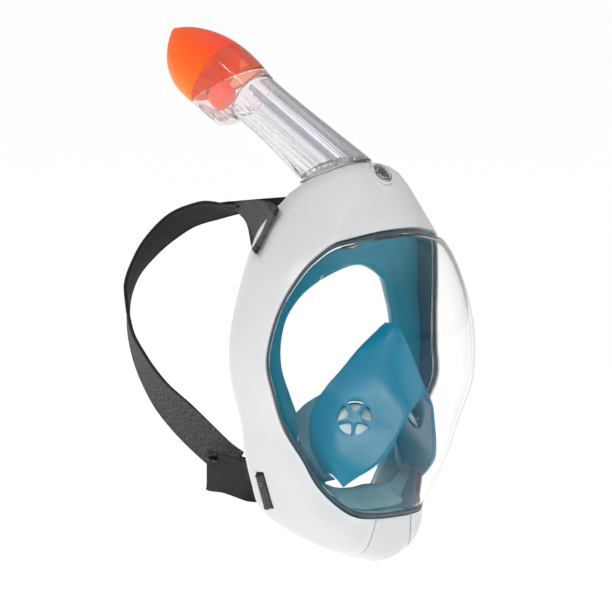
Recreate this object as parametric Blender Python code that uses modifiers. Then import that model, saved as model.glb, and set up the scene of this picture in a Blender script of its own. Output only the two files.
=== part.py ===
import math

import bmesh
import bpy
import numpy as np
from mathutils import Matrix, Vector
from mathutils.bvhtree import BVHTree

# Full face snorkel mask. X is across the face, the visor looks along -Y, Z is up.
# The origin is the middle of the face opening. Lengths below are millimetres.
MM = 0.001
GAP = 0.35
CHIN_SEAM = 1.1

FRAME_WALL = 3.0
LENS_WALL = 2.2
SKIRT_WALL = 2.2
CUP_WALL = 1.8

SOCKET_POINT = (0, -7, 131)       # where the tube axis passes through the hood
TUBE_TILT = 31.5                  # degrees above the horizontal, pointing backwards
SPIGOT = (17.0, 13.5, 2.0)        # half width, half depth, offset of the plugged-in end
TUBE_BASE = (20.5, 18.2, -1.2)
TUBE_MIDDLE = (18.5, 17.0, -1.4)
TUBE_TOP = (17.2, 16.2, -1.6)
TUBE_WALL = 2.0
SPIGOT_END = -33.0
TUBE_END = 84.0
HEAD_WALL = 1.8
CAP_SPLIT = (102.0, 0.63)         # the cap meets the cage on z = 102 + 0.63 y

BUTTON_Y = -45.5
BUTTON_RADIUS = 7.0

VALVE_CENTRE = (30, -47, -24)
VALVE_NORMAL = (0.7, -0.5, 0.5)
VALVE_RADIUS = 9.7

STRAP_WIDTH = 25.0
NAPE_WIDTH = 22.6
WEDGE_WIDTH = 25.0
STRAP_THICKNESS = 2.4

# Half outline of the shell from the top of the hood to the chin, four points across
# the band at each station: rear rim, crest, brow and lens edge.
STATIONS = [
    ((0, 22, 119), (0, -8, 134.5), (0, -43, 134.5), (0, -61, 97.5)),
    ((17, 17, 117.5), (16, -10, 132.5), (17, -42, 132.5), (20, -59, 96.5)),
    ((33, 10, 113.5), (30, -12, 125), (28, -41, 125), (38, -53, 93.5)),
    ((52, 7, 104), (46, -12, 110), (43, -40, 107), (52, -48, 90.5)),
    ((64, 7, 93), (60, -10, 96), (57, -34, 94), (62, -42, 83)),
    ((75.5, 7, 72), (74, -8, 75), (72, -28, 76), (70, -36, 73)),
    ((83.5, 7, 52), (83, -6, 54), (81.5, -19, 55), (80, -28, 54)),
    ((89.6, 7, 32), (89.5, -4, 33), (88, -14, 34), (85.3, -23, 34)),
    ((90.5, 7, 11), (91, -3, 12), (90.3, -12, 12), (88, -21, 13)),
    ((86, 7, -8), (87, -4, -8), (87, -14, -8), (85, -24, -8)),
    ((78.5, 7, -28), (79, -4, -28), (77.5, -14, -29), (73, -23, -30)),
    ((75, 7, -48), (75, -6, -49), (71, -20, -50), (62, -30, -50.5)),
    ((69, 7, -66), (68, -8, -67), (62, -26, -69), (54, -36, -68)),
    ((60, 7, -84), (59, -10, -86), (53, -34, -89), (42, -44, -82)),
    ((43, -1, -99), (42, -20, -103.5), (37, -45, -103.5), (33, -51.5, -88.5)),
    ((26, -10, -107.5), (27, -30, -113), (23, -49, -111.5), (18, -55.5, -90.3)),
    ((0, -14, -112), (0, -31, -119), (0, -50, -117), (0, -56.5, -90.5)),
]
CHIN_STATION = 15                 # the chin cover takes over below this station

# Centre line of the visor from top to bottom: height and how far forward it stands.
VISOR_PROFILE = [(97.5, -61), (85, -70), (70, -78), (50, -85), (30, -89), (10, -89),
                 (-10, -87), (-30, -83), (-50, -78), (-70, -68), (-90.5, -56.5)]
VISOR_SQUARENESS = 2.4

# Inner lip of the skirt, which frames the eyes, nose and mouth.
SKIRT_LIP = [(0, -23, 71), (34, -17, 60.5), (50, -11, 45), (57, -9, 27), (56, -8, 8),
             (47, -8, -12), (42, -9.5, -25), (46, -13, -36), (49, -19, -50), (43, -25, -62),
             (30, -29, -70), (14, -31, -71.5), (0, -31, -70.5)]

# Nose and mouth cup: edge against the face and edge against the visor.
CUP_BACK = [(0, -47, 33), (12, -36, 14), (23, -22, -5), (31, -13.5, -20), (37, -14, -32),
            (40, -19, -45), (38, -27, -57)]
CUP_FRONT = [(0, -81, -9), (9, -78, -16), (16, -74, -27), (21, -71, -36), (29, -65, -49),
             (36, -54, -61), (40, -44, -70)]
CUP_BULGE = [(0, -60, 27), (12, -58, 8), (20, -51, -4), (27, -45, -15), (36, -38, -30),
             (42, -35, -46), (41, -36, -60)]

# Head strap: y, z and roll in degrees of the band down the back of the head.
BAND_ROUTE = [(79, 102, 0), (88, 101.4, -6), (102, 99, -19), (125, 92, -8), (146, 77.5, 3),
              (160, 63, 17), (169, 49.7, 28), (172, 36, 38), (171.5, 23, 43),
              (168.5, 10.5, 49), (162, -2, 58), (153, -14.5, 66), (141, -27, 76),
              (124.5, -39, 88), (107, -51, 98), (91, -62, 103)]


# ---------------------------------------------------------------- scene and helpers
def clear_scene():
    for thing in list(bpy.data.objects):
        bpy.data.objects.remove(thing)


def make_collection(name):
    made = bpy.data.collections.new(name)
    bpy.context.scene.collection.children.link(made)
    return made


def make_material(name, colour, roughness, see_through=0.0):
    made = bpy.data.materials.new(name)
    made.use_nodes = True
    shader = made.node_tree.nodes["Principled BSDF"]
    shader.inputs["Base Color"].default_value = (*colour, 1)
    shader.inputs["Roughness"].default_value = roughness
    shader.inputs["Metallic"].default_value = 0.0
    shader.inputs["Transmission Weight"].default_value = see_through
    return made


def mesh_from(name, verts, faces):
    mesh = bpy.data.meshes.new(name)
    mesh.from_pydata([Vector(v) * MM for v in verts], [], faces)
    mesh.update()
    return mesh


def place(name, mesh, material, parent=None):
    thing = bpy.data.objects.new(name, mesh)
    parts.objects.link(thing)
    mesh.materials.clear()
    mesh.materials.append(material)
    mesh.shade_smooth()
    mesh.set_sharp_from_angle(angle=math.radians(35))
    thing.parent = parent
    return thing


def place_cutter(name, mesh, parent=None):
    thing = bpy.data.objects.new(name, mesh)
    cutters.objects.link(thing)
    thing.hide_render = True
    thing.display_type = "WIRE"
    thing.parent = parent
    return thing


def cut(target, cutter, operation="DIFFERENCE"):
    tool = target.modifiers.new(cutter.name, "BOOLEAN")
    tool.operation = operation
    tool.object = cutter


def thicken(thing, wall, offset=-1.0):
    shell = thing.modifiers.new("wall", "SOLIDIFY")
    shell.thickness = wall * MM
    shell.offset = offset
    shell.use_even_offset = True


def skin_faces(rows, columns, closed_columns=False, closed_rows=False, flip=False):
    faces = []
    for r in range(rows if closed_rows else rows - 1):
        for c in range(columns if closed_columns else columns - 1):
            near, far = r * columns, ((r + 1) % rows) * columns
            nxt = (c + 1) % columns
            face = (near + c, near + nxt, far + nxt, far + c)
            faces.append(face[::-1] if flip else face)
    return faces


def loft(name, rings, flip=False, closed_rings=True, joined_ends=False, capped=False):
    columns = len(rings[0])
    faces = skin_faces(len(rings), columns, closed_rings, joined_ends, flip)
    if capped:
        first = list(range(columns))
        last = list(range((len(rings) - 1) * columns, len(rings) * columns))
        faces += [first if flip else first[::-1], last[::-1] if flip else last]
    return mesh_from(name, [p for ring in rings for p in ring], faces)


def spline(points, per_span, closed=False):
    """Smooth curve through the points, per_span steps between neighbours."""
    pts = [Vector(p) for p in points]
    n = len(pts)
    made = []
    for i in range(n if closed else n - 1):
        if closed:
            p0, p1, p2, p3 = (pts[(i + k) % n] for k in (-1, 0, 1, 2))
        else:
            p0, p1, p2, p3 = (pts[min(max(i + k, 0), n - 1)] for k in (-1, 0, 1, 2))
        for k in range(per_span):
            t = k / per_span
            made.append(0.5 * (2 * p1 + (p2 - p0) * t + (2 * p0 - 5 * p1 + 4 * p2 - p3) * t ** 2
                               + (3 * p1 - 3 * p2 + p3 - p0) * t ** 3))
    return made if closed else made + [pts[-1]]


def mirrored_loop(half, per_span):
    """Closed loop from a half outline that starts and ends on the middle plane."""
    other = [(-x, y, z) for x, y, z in half[-2:0:-1]]
    return spline(list(half) + other, per_span, closed=True)


def inset(loop, distance, forward=0.0):
    """Moves a loop inwards in the plane of the face, and along +Y by forward."""
    made = []
    n = len(loop)
    for i, p in enumerate(loop):
        run = loop[(i + 1) % n] - loop[i - 1]
        side = Vector((run.z, 0, -run.x)).normalized()
        made.append(p + side * distance + Vector((0, forward, 0)))
    return made


def oval(half_width, half_depth, offset=0.0, steps=28, squareness=2.3):
    made = []
    for k in range(steps):
        a = 2 * math.pi * k / steps
        c, s = math.cos(a), math.sin(a)
        x = half_width * math.copysign(abs(c) ** (2 / squareness), c)
        y = offset + half_depth * math.copysign(abs(s) ** (2 / squareness), s)
        made.append((x, y))
    return made


def level(points, height):
    return [(x, y, height) for x, y in points]


def tilted(points, low, slope):
    return [(x, y, low + slope * y) for x, y in points]


def lathe(name, profile, material, steps=28, parent=None):
    """Turned ring or disc: a closed profile of (radius, height) about local Z."""
    rings = []
    for k in range(steps):
        a = 2 * math.pi * k / steps
        rings.append([(r * math.cos(a), r * math.sin(a), z) for r, z in profile])
    return place(name, loft(name, rings, joined_ends=True, flip=True), material, parent)


def disc(name, radius, bottom, top, material, steps=28, parent=None):
    rings = [level(oval(radius, radius, 0, steps, 2), z) for z in (bottom, top)]
    return place(name, loft(name, rings, capped=True), material, parent)


def aim(thing, point, direction):
    """Puts a piece made about local Z at a point, with Z along the direction."""
    turn = Vector(direction).to_track_quat("Z", "Y").to_matrix().to_4x4()
    thing.matrix_world = Matrix.Translation(Vector(point) * MM) @ turn


def webbing(name, centres, sides, normals, widths, thickness=STRAP_THICKNESS):
    """Flat strap: a rectangle carried along the centres."""
    rings = []
    for c, s, n, w in zip(centres, sides, normals, widths):
        a, b = s * w / 2, n * thickness / 2
        rings.append([c - a - b, c + a - b, c + a + b, c - a + b])
    return place(name, loft(name, rings, capped=True), fabric)


# ---------------------------------------------------------------- shell, visor, skirt
def band_rows():
    loops = [mirrored_loop([row[k] for row in STATIONS], 2) for k in range(4)]
    return [spline([loop[i] for loop in loops], 3) for i in range(len(loops[0]))]


def build_shell(rows):
    last = CHIN_STATION * 2
    around = list(range(len(rows) - last, len(rows))) + list(range(last + 1))
    frame_rows = [rows[i] for i in around]
    frame = place("outer_frame", loft("outer_frame", frame_rows, closed_rings=False),
                  white)
    thicken(frame, FRAME_WALL)
    chin_rows = [[p.copy() for p in rows[i]] for i in range(last, len(rows) - last + 1)]
    for p, q in zip(chin_rows[0], chin_rows[-1]):
        p.x -= CHIN_SEAM
        q.x += CHIN_SEAM
    chin = place("chin_cover", loft("chin_cover", chin_rows, closed_rings=False), white)
    thicken(chin, FRAME_WALL)
    return frame, chin


def lens_edge(rows):
    return inset([row[-1] for row in rows], FRAME_WALL + GAP + 0.4, 1.0)


def visor_depth(edge):
    """Returns how far forward the visor stands at x, z inside its edge."""
    half = sorted(((p.z, abs(p.x), p.y) for p in edge if p.x >= -0.01), key=lambda q: q[0])
    heights, widths, rims = zip(*half)
    middle = sorted(spline([(z, y, 0) for z, y in VISOR_PROFILE], 4), key=lambda p: p.x)
    levels = [p.x for p in middle]
    fronts = [p.y for p in middle]

    def depth(x, z, stand_back=0.0):
        width = np.interp(z, heights, widths)
        rim = np.interp(z, heights, rims)
        front = np.interp(z, levels, fronts) + stand_back
        share = min(abs(x) / max(width, 0.01), 1.0)
        swell = (1 - share ** VISOR_SQUARENESS) ** (1 / VISOR_SQUARENESS)
        return rim + (min(front, rim) - rim) * swell

    return depth


def build_visor(edge, depth):
    centre = Vector((0, 0, 6))
    turns = [math.sin(math.radians(a)) for a in (90, 80, 68, 55, 41, 27, 13)]
    rings = []
    for share in turns:
        ring = []
        for p in edge:
            x, z = p.x * share, centre.z + (p.z - centre.z) * share
            ring.append((x, p.y if share == 1 else depth(x, z), z))
        rings.append(ring)
    columns = len(edge)
    faces = skin_faces(len(rings), columns, closed_columns=True, flip=True)
    verts = [p for ring in rings for p in ring] + [(0, depth(0, centre.z), centre.z)]
    start = (len(rings) - 1) * columns
    faces += [(start + (c + 1) % columns, start + c, len(verts) - 1) for c in range(columns)]
    visor = place("visor_lens", mesh_from("visor_lens", verts, faces), clear)
    thicken(visor, LENS_WALL)


def build_skirt(rows):
    front = inset([row[-1] for row in rows], FRAME_WALL + 1.2, 5.0)
    lip = mirrored_loop(SKIRT_LIP, 8)
    lip = match_heights(front, lip)
    rear = inset([row[0] for row in rows], 11.0)
    seal = [q.lerp(p, 0.42) + Vector((0, 4.5, 0)) for p, q in zip(lip, rear)]
    rings = []
    for f, l, s, r in zip(front, lip, seal, rear):
        middle = f.lerp(l, 0.55) + Vector((0, 2.0, 0))
        inner = l.lerp(s, 0.5) + Vector((0, 2.5, 0))
        edge = Vector((r.x, min(r.y, 7) - 2.0, r.z))
        rings.append(spline([f, middle, l, inner, s, edge], 2))
    mesh = loft("face_skirt", rings, closed_rings=False, joined_ends=True, flip=True)
    skirt = place("face_skirt", mesh, teal)
    thicken(skirt, SKIRT_WALL, 1.0)


def match_heights(outer, inner):
    """Picks the point of the inner loop that lies in the same direction as each outer one."""
    centre = Vector((0, 0, 3))
    angles = [math.atan2(p.x, p.z - centre.z) for p in inner]
    made = []
    for q in outer:
        wanted = math.atan2(q.x * 0.8, q.z - centre.z)
        best = min(range(len(inner)),
                   key=lambda k: abs(math.remainder(angles[k] - wanted, math.tau)))
        a, b = inner[best - 1], inner[(best + 1) % len(inner)]
        low, high = angles[best - 1], angles[(best + 1) % len(inner)]
        span = math.remainder(high - low, math.tau)
        share = math.remainder(wanted - low, math.tau) / span
        third = inner[best]
        made.append(a.lerp(third, share * 2) if share < 0.5 else third.lerp(b, share * 2 - 1))
    return made


def build_cup():
    def full(half):
        points = spline(half, 3)
        return [Vector((-p.x, p.y, p.z)) for p in points[:0:-1]] + points

    edges = zip(full(CUP_BACK), full(CUP_BULGE), full(CUP_FRONT))
    rings = [spline(edge, 3) for edge in edges]
    cup = place("nose_cup", loft("nose_cup", rings, closed_rings=False, flip=True), teal)
    thicken(cup, CUP_WALL)
    return cup


# ---------------------------------------------------------------- valves
def build_inhale_valve(side, cup):
    name = "left" if side > 0 else "right"
    point = (side * VALVE_CENTRE[0], VALVE_CENTRE[1], VALVE_CENTRE[2])
    facing = Vector((side * VALVE_NORMAL[0], VALVE_NORMAL[1], VALVE_NORMAL[2])).normalized()
    hole = place_cutter("cup_hole_" + name, loft("cup_hole", [
        level(oval(VALVE_RADIUS, VALVE_RADIUS, 0, 24, 2), z) for z in (-12, 12)], capped=True))
    aim(hole, point, facing)
    cut(cup, hole)
    r = VALVE_RADIUS - GAP
    profile = [(r - 2, -1.5), (r, -1.5), (r, 1.5), (r - 2, 1.5)]
    seat = lathe("inhale_valve_seat_" + name, profile, clear)
    aim(seat, point, facing)
    for k in range(3):
        spoke = box_mesh("spoke", 2 * r - 2.5, 1.3, 1.6)
        bar = place_cutter("spoke_%s_%d" % (name, k), spoke)
        aim(bar, point, facing)
        bar.matrix_world = bar.matrix_world @ Matrix.Rotation(math.pi * k / 3, 4, "Z")
        cut(seat, bar, "UNION")
    flap = disc("inhale_valve_disc_" + name, r - 2.6, -2.9, -1.9, teal)
    aim(flap, point, facing)


def box_mesh(name, x, y, z, centre=(0, 0, 0)):
    form = bmesh.new()
    bmesh.ops.create_cube(form, size=1)
    bmesh.ops.scale(form, vec=Vector((x, y, z)) * MM, verts=form.verts)
    bmesh.ops.translate(form, vec=Vector(centre) * MM, verts=form.verts)
    mesh = bpy.data.meshes.new(name)
    form.to_mesh(mesh)
    form.free()
    return mesh


def build_chin_valve():
    point = (0, -39, -108)
    seat = lathe("chin_valve_seat", [(4.5, -0.8), (10.5, -0.8), (10.5, 0.8), (4.5, 0.8)], clear)
    aim(seat, point, (0, 0, 1))
    flap = disc("chin_valve_disc", 8.5, -1.9, -1.2, teal)
    aim(flap, point, (0, 0, 1))


def drain_slots(chin):
    for k in (-1, 0, 1):
        slot = place_cutter("drain_%d" % (k + 1), box_mesh("drain", 2.4, 13, 16))
        slot.location = Vector((k * 6.5, -39, -118)) * MM
        cut(chin, slot)


# ---------------------------------------------------------------- snorkel
def surface_height(tree, x, y):
    """Height of the hood surface along the tube axis, at x, y of the tube."""
    turned = snorkel_axis.matrix_world
    start = turned @ (Vector((x, y, 80)) * MM)
    heading = turned.to_3x3() @ Vector((0, 0, -1))
    hit = tree.ray_cast(start, heading)[0]
    return (turned.inverted() @ hit).z / MM


def draped(tree, points, lift):
    return [(x, y, surface_height(tree, x, y) + lift) for x, y in points]


def build_socket(frame, tree):
    inner = oval(SPIGOT[0] + 1.3, SPIGOT[1] + 1.3, SPIGOT[2])
    outer = oval(SPIGOT[0] + 3.1, SPIGOT[1] + 3.1, SPIGOT[2])
    rings = [level(inner, SPIGOT_END - 3), draped(tree, inner, -1.4),
             draped(tree, outer, -1.4), level(outer, SPIGOT_END - 3)]
    shape = loft("tube_socket", rings, joined_ends=True, flip=True)
    place("tube_socket", shape, white, snorkel_axis)
    hole = oval(SPIGOT[0] + 3.1 + GAP, SPIGOT[1] + 3.1 + GAP, SPIGOT[2])
    shape = loft("socket_hole", [level(hole, SPIGOT_END - 2), level(hole, 40)], capped=True)
    cut(frame, place_cutter("socket_hole", shape, snorkel_axis))
    inner = oval(SPIGOT[0] + 1.4, SPIGOT[1] + 1.4, SPIGOT[2])
    outer = oval(SPIGOT[0] + 5.0, SPIGOT[1] + 5.0, SPIGOT[2] * 0.6)
    rings = [draped(tree, inner, 0.9), draped(tree, outer, 0.9),
             draped(tree, outer, 2.2), draped(tree, inner, 2.2)]
    place("socket_gasket", loft("socket_gasket", rings, joined_ends=True), beige, snorkel_axis)


def build_tube(tree):
    spigot = oval(*SPIGOT)
    base = oval(*TUBE_BASE)
    middle = oval(*TUBE_MIDDLE)
    top = oval(*TUBE_TOP)
    rise = 2.9
    rings = [level(spigot, SPIGOT_END), level(spigot, -22), draped(tree, spigot, rise),
             draped(tree, base, rise), draped(tree, base, rise + 7), tilted(middle, 36, 0.3),
             level(top, 62), level(top, TUBE_END)]
    tube = place("snorkel_tube", loft("snorkel_tube", rings), clear, snorkel_axis)
    thicken(tube, TUBE_WALL)
    for k, height in enumerate((SPIGOT_END + 4, SPIGOT_END + 9)):
        inner = oval(SPIGOT[0] + 0.2, SPIGOT[1] + 0.2, SPIGOT[2])
        outer = oval(SPIGOT[0] + 1.0, SPIGOT[1] + 1.0, SPIGOT[2])
        rings = [level(inner, height), level(outer, height), level(outer, height + 1.6),
                 level(inner, height + 1.6)]
        seal = loft("tube_o_ring", rings, joined_ends=True)
        place("tube_o_ring_%d" % (k + 1), seal, teal, snorkel_axis)
    duct = [level(oval(7, 6, 1, 20), SPIGOT_END + 1), level(oval(7, 6, 1, 20), TUBE_END - 1)]
    thicken(place("centre_duct", loft("centre_duct", duct), clear, snorkel_axis), 1.2)


HEAD_SECTIONS = [                 # height, lowest y, highest y, half width
    (84.4, -18.6, 16.6, 17.6), (92, -20.4, 26.6, 18.5), (99, -21.2, 28.2, 19.5),
    (110, -21.7, 28.0, 20), (124, -20.5, 28.4, 19.3), (137, -17.3, 27.4, 17),
    (148.8, -12.4, 22.2, 13), (156, -8, 14.6, 8.8), (160.5, -4.6, 7.0, 5), (163, -2.5, 2.5, 2)]


def build_head():
    rings = [level(oval(half, (high - low) / 2, (high + low) / 2, 28), z)
             for z, low, high, half in HEAD_SECTIONS]
    columns = len(rings[0])
    faces = skin_faces(len(rings), columns, closed_columns=True)
    faces.append(list(range((len(rings) - 1) * columns, len(rings) * columns)))
    verts = [p for ring in rings for p in ring]
    slope = math.atan(CAP_SPLIT[1])
    made = []
    for name, material, away in (("float_cage", clear, 1), ("top_cap", orange, -1)):
        shell = place(name, mesh_from(name, verts, faces), material, snorkel_axis)
        thicken(shell, HEAD_WALL)
        half_space = place_cutter(name + "_split", box_mesh("split", 80, 160, 100), snorkel_axis)
        half_space.matrix_local = (Matrix.Translation(Vector((0, 0, CAP_SPLIT[0])) * MM)
                                   @ Matrix.Rotation(slope, 4, "X")
                                   @ Matrix.Translation(Vector((0, 0, away * (50 - GAP / 2))) * MM))
        cut(shell, half_space)
        made.append(shell)
    cage_slots(made[0])
    return made


def cage_slots(cage):
    for k in range(7):
        slot = place_cutter("cage_slot_%d" % k, box_mesh("slot", 2.2, 16, 12), snorkel_axis)
        slot.location = Vector(((k - 3) * 4.4, 28, 103)) * MM
        cut(cage, slot)


def build_float():
    holder = bpy.data.objects.new("float_axis", None)
    parts.objects.link(holder)
    holder.parent = snorkel_axis
    holder.location = Vector((0, 13, 100)) * MM
    rings = [level(oval(r, r, 0, 24, 2), z) for r, z in
             ((6, 0), (8.5, 1.5), (9, 5), (8.5, 10), (6.5, 12.5))]
    place("float", loft("float", rings, capped=True), orange, holder)
    disc("float_seal", 6.2, 12.9, 14.4, teal, 24, holder)
    plate = [level(oval(15.8, 19.5, 4, 28), z) for z in (126, 128)]
    seat = place("float_seat", loft("float_seat", plate, capped=True), clear, snorkel_axis)
    hole = place_cutter("seat_hole", loft("seat_hole", [
        level(oval(4.5, 4.5, 13, 24, 2), z) for z in (120, 134)], capped=True), snorkel_axis)
    cut(seat, hole)


# ---------------------------------------------------------------- release button
def build_button(frame, tree):
    start = Vector((0, BUTTON_Y, 170)) * MM
    hit, facing, _, _ = tree.ray_cast(start, Vector((0, 0, -1)))
    point = hit / MM
    facing = Vector((0, facing.y, facing.z)).normalized()
    rim = oval(BUTTON_RADIUS + 2, BUTTON_RADIUS + 2, 0, 28, 2)
    shape = loft("button_hole", [level(rim, z) for z in (-8, 8)], capped=True)
    hole = place_cutter("button_hole", shape)
    aim(hole, point, facing)
    cut(frame, hole)
    inner, outer = BUTTON_RADIUS + GAP, BUTTON_RADIUS + 2 - GAP
    profile = [(inner, -2.2), (outer, -2.2), (outer, 0.5), (inner, 0.5)]
    bezel = lathe("button_bezel", profile, white)
    aim(bezel, point, facing)
    button = disc("release_button", BUTTON_RADIUS, -1.2, 1.0, clear)
    aim(button, point, facing)
    spring = place("button_spring", coil_mesh(2.6, 1.3, 1.6, 0.25), steel)
    aim(spring, point - facing * 4.3, facing)


def coil_mesh(radius, height, turns, wire):
    curve = bpy.data.curves.new("coil", "CURVE")
    curve.dimensions = "3D"
    curve.bevel_depth = wire * MM
    curve.bevel_resolution = 1
    curve.use_fill_caps = True
    path = curve.splines.new("POLY")
    steps = int(turns * 12)
    path.points.add(steps)
    for k in range(steps + 1):
        a = 2 * math.pi * k / 12
        spot = Vector((radius * math.cos(a), radius * math.sin(a), height * k / steps)) * MM
        path.points[k].co = (*spot, 1)
    guide = bpy.data.objects.new("coil", curve)
    bpy.context.scene.collection.objects.link(guide)
    graph = bpy.context.evaluated_depsgraph_get()
    mesh = bpy.data.meshes.new_from_object(guide.evaluated_get(graph))
    bpy.data.objects.remove(guide)
    form = bmesh.new()
    form.from_mesh(mesh)
    bmesh.ops.remove_doubles(form, verts=form.verts, dist=1e-6)
    form.to_mesh(mesh)
    form.free()
    return mesh


# ---------------------------------------------------------------- head strap
def build_wedge(side):
    name = "left" if side > 0 else "right"
    start, end = Vector((side * 54.2, 0, 92.7)), Vector((side * 6.6, 75, 102))
    centres = spline([start, (side * 50.8, 8, 94.8), (side * 30, 42, 99.5), end], 3)
    run = (end - start).normalized()
    sides, normals, widths = [], [], []
    for k in range(len(centres)):
        share = k / (len(centres) - 1)
        turn = math.radians(50) * (1 - share) ** 1.3
        across = Vector((math.cos(turn), 0, -side * math.sin(turn)))
        across = (across - run * across.dot(run)).normalized()
        sides.append(across)
        normals.append(run.cross(across).normalized())
        widths.append(WEDGE_WIDTH + (12.4 - WEDGE_WIDTH) * share)
    webbing("strap_wedge_" + name, centres, sides, normals, widths)


def build_band():
    route = spline([(0, y, z) for y, z, _ in BAND_ROUTE], 2)
    rolls = [p.x for p in spline([(roll, 0, 0) for _, _, roll in BAND_ROUTE], 2)]
    sides, normals = [], []
    for k, p in enumerate(route):
        run = (route[min(k + 1, len(route) - 1)] - route[max(k - 1, 0)]).normalized()
        outward = Vector((0, -run.z, run.y))
        roll = math.radians(rolls[k])
        across = Vector((math.cos(roll), 0, 0)) + outward * math.sin(roll)
        sides.append(across)
        normals.append(run.cross(across).normalized())
    count = len(route)
    widths = [STRAP_WIDTH - 8 * max(0, (k - count + 6) / 5) for k in range(count)]
    webbing("back_band", route, sides, normals, widths)


def build_nape():
    route = spline([(-61.6, -3, -71), (-57.6, 4, -71.5), (-55.5, 14, -73), (-36, 54, -75),
                    (-17, 86, -76.5), (-9, 101, -77), (1, 106, -77.5), (11, 100, -78),
                    (26, 66, -82), (48, 30, -83), (55.5, 14, -75), (57.6, 4, -71.5),
                    (61.6, -3, -71)], 3)
    sides, normals = [], []
    for k in range(len(route)):
        run = (route[min(k + 1, len(route) - 1)] - route[max(k - 1, 0)]).normalized()
        across = Vector((0, 0, 1))
        lean = 0.46 * max(0.0, min(1.0, (24 - route[k].y) / 12))
        across.x = math.copysign(lean, route[k].x)
        across = (across - run * across.dot(run)).normalized()
        sides.append(across)
        normals.append(run.cross(across).normalized())
    webbing("nape_strap", route, sides, normals, [NAPE_WIDTH] * len(route))


def build_keepers():
    pad = box_mesh("crown_patch", 27, 14, 1.4)
    patch = place("crown_patch", pad, rubber)
    patch.location = Vector((0, 74, 104.8)) * MM


def lug_slots(frame):
    for side in (-1, 1):
        slot = place_cutter("lug_slot_%d" % side, box_mesh("lug_slot", 26, 6.5, 27))
        slot.location = Vector((side * 66, -2.5, -71)) * MM
        slot.rotation_euler.y = math.radians(side * 22)
        cut(frame, slot)


def build_anchors():
    for side, name in ((-1, "right"), (1, "left")):
        pin = disc("upper_strap_pin_" + name, 1.5, -15, 15, steel, 12)
        aim(pin, (side * 55, -11, 91.8), (side * 0.64, 0, -0.77))


clear_scene()
parts = make_collection("full_face_snorkel")
cutters = make_collection("cutters")

white = make_material("white_shell", (0.80, 0.81, 0.82), 0.35)
clear = make_material("clear_plastic", (0.92, 0.95, 0.96), 0.05, 0.9)
teal = make_material("teal_silicone", (0.0, 0.21, 0.33), 0.35)
orange = make_material("orange_plastic", (1.0, 0.13, 0.02), 0.3)
beige = make_material("gasket_rubber", (0.55, 0.50, 0.46), 0.6)
fabric = make_material("strap_fabric", (0.06, 0.055, 0.055), 0.95)
rubber = make_material("dark_rubber", (0.03, 0.03, 0.03), 0.7)
steel = make_material("stainless_steel", (0.62, 0.62, 0.64), 0.3)

snorkel_axis = bpy.data.objects.new("snorkel_axis", None)
parts.objects.link(snorkel_axis)
snorkel_axis.location = Vector(SOCKET_POINT) * MM
snorkel_axis.rotation_euler.x = math.radians(TUBE_TILT - 90)
bpy.context.view_layer.update()

band = band_rows()
frame, chin = build_shell(band)
bpy.context.view_layer.update()
hood = BVHTree.FromObject(frame, bpy.context.evaluated_depsgraph_get())
edge = lens_edge(band)
build_visor(edge, visor_depth(edge))
build_skirt(band)
cup = build_cup()
for side in (-1, 1):
    build_inhale_valve(side, cup)
    build_wedge(side)
build_chin_valve()
drain_slots(chin)
build_socket(frame, hood)
build_tube(hood)
build_head()
build_float()
build_button(frame, hood)
lug_slots(frame)
build_band()
build_nape()
build_keepers()
build_anchors()
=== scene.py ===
import math

import bmesh
import bpy
from mathutils import Matrix, Vector
from mathutils.bvhtree import BVHTree


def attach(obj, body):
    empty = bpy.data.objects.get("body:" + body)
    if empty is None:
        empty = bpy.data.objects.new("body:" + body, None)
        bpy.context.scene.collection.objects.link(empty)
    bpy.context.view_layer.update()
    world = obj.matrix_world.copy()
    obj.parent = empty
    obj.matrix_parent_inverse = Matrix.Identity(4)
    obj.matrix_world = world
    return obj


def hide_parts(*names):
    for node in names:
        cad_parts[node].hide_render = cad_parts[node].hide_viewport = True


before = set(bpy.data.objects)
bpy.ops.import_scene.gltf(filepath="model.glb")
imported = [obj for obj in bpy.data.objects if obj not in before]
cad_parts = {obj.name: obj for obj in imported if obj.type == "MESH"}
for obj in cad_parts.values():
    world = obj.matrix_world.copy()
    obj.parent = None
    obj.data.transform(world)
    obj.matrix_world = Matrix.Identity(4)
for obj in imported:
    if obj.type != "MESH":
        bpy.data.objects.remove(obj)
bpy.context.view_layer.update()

mm = 0.001

# camera first: a long lens far away, slightly above, from the wearer's right front
view = {"azimuth": -50, "elevation": 5.5, "distance": 6.0, "lens": 543.6, "right": -0.01429, "up": 0.04286}


def cameraAxes():
    a, e = math.radians(view["azimuth"]), math.radians(view["elevation"])
    back = Vector((math.sin(a) * math.cos(e), -math.cos(a) * math.cos(e), math.sin(e)))
    right = Vector((math.cos(a), math.sin(a), 0))
    return right, back.cross(right), back


def addCamera():
    right, up, back = cameraAxes()
    data = bpy.data.cameras.new("studioCamera")
    data.lens, data.sensor_width = view["lens"], 36
    data.clip_end = 200
    camera = bpy.data.objects.new("studioCamera", data)
    bpy.context.scene.collection.objects.link(camera)
    camera.location = right * view["right"] + up * view["up"] + back * view["distance"]
    camera.rotation_euler = back.to_track_quat("Z", "Y").to_euler()
    bpy.context.scene.camera = camera


addCamera()
bpy.context.scene.view_settings.view_transform = "Standard"
print("camera placed")


# small helpers: all lengths are millimetres until a mesh is made
def spline(points, steps, closed=False):
    pts = [Vector(p) for p in points]
    n, made = len(pts), []
    for i in range(n if closed else n - 1):
        if closed:
            p0, p1, p2, p3 = (pts[(i + k) % n] for k in (-1, 0, 1, 2))
        else:
            p0, p1, p2, p3 = (pts[min(max(i + k, 0), n - 1)] for k in (-1, 0, 1, 2))
        for k in range(steps):
            t = k / steps
            made.append(0.5 * (2 * p1 + (p2 - p0) * t + (2 * p0 - 5 * p1 + 4 * p2 - p3) * t ** 2
                               + (3 * p1 - 3 * p2 + p3 - p0) * t ** 3))
    return made if closed else made + [pts[-1]]


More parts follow.
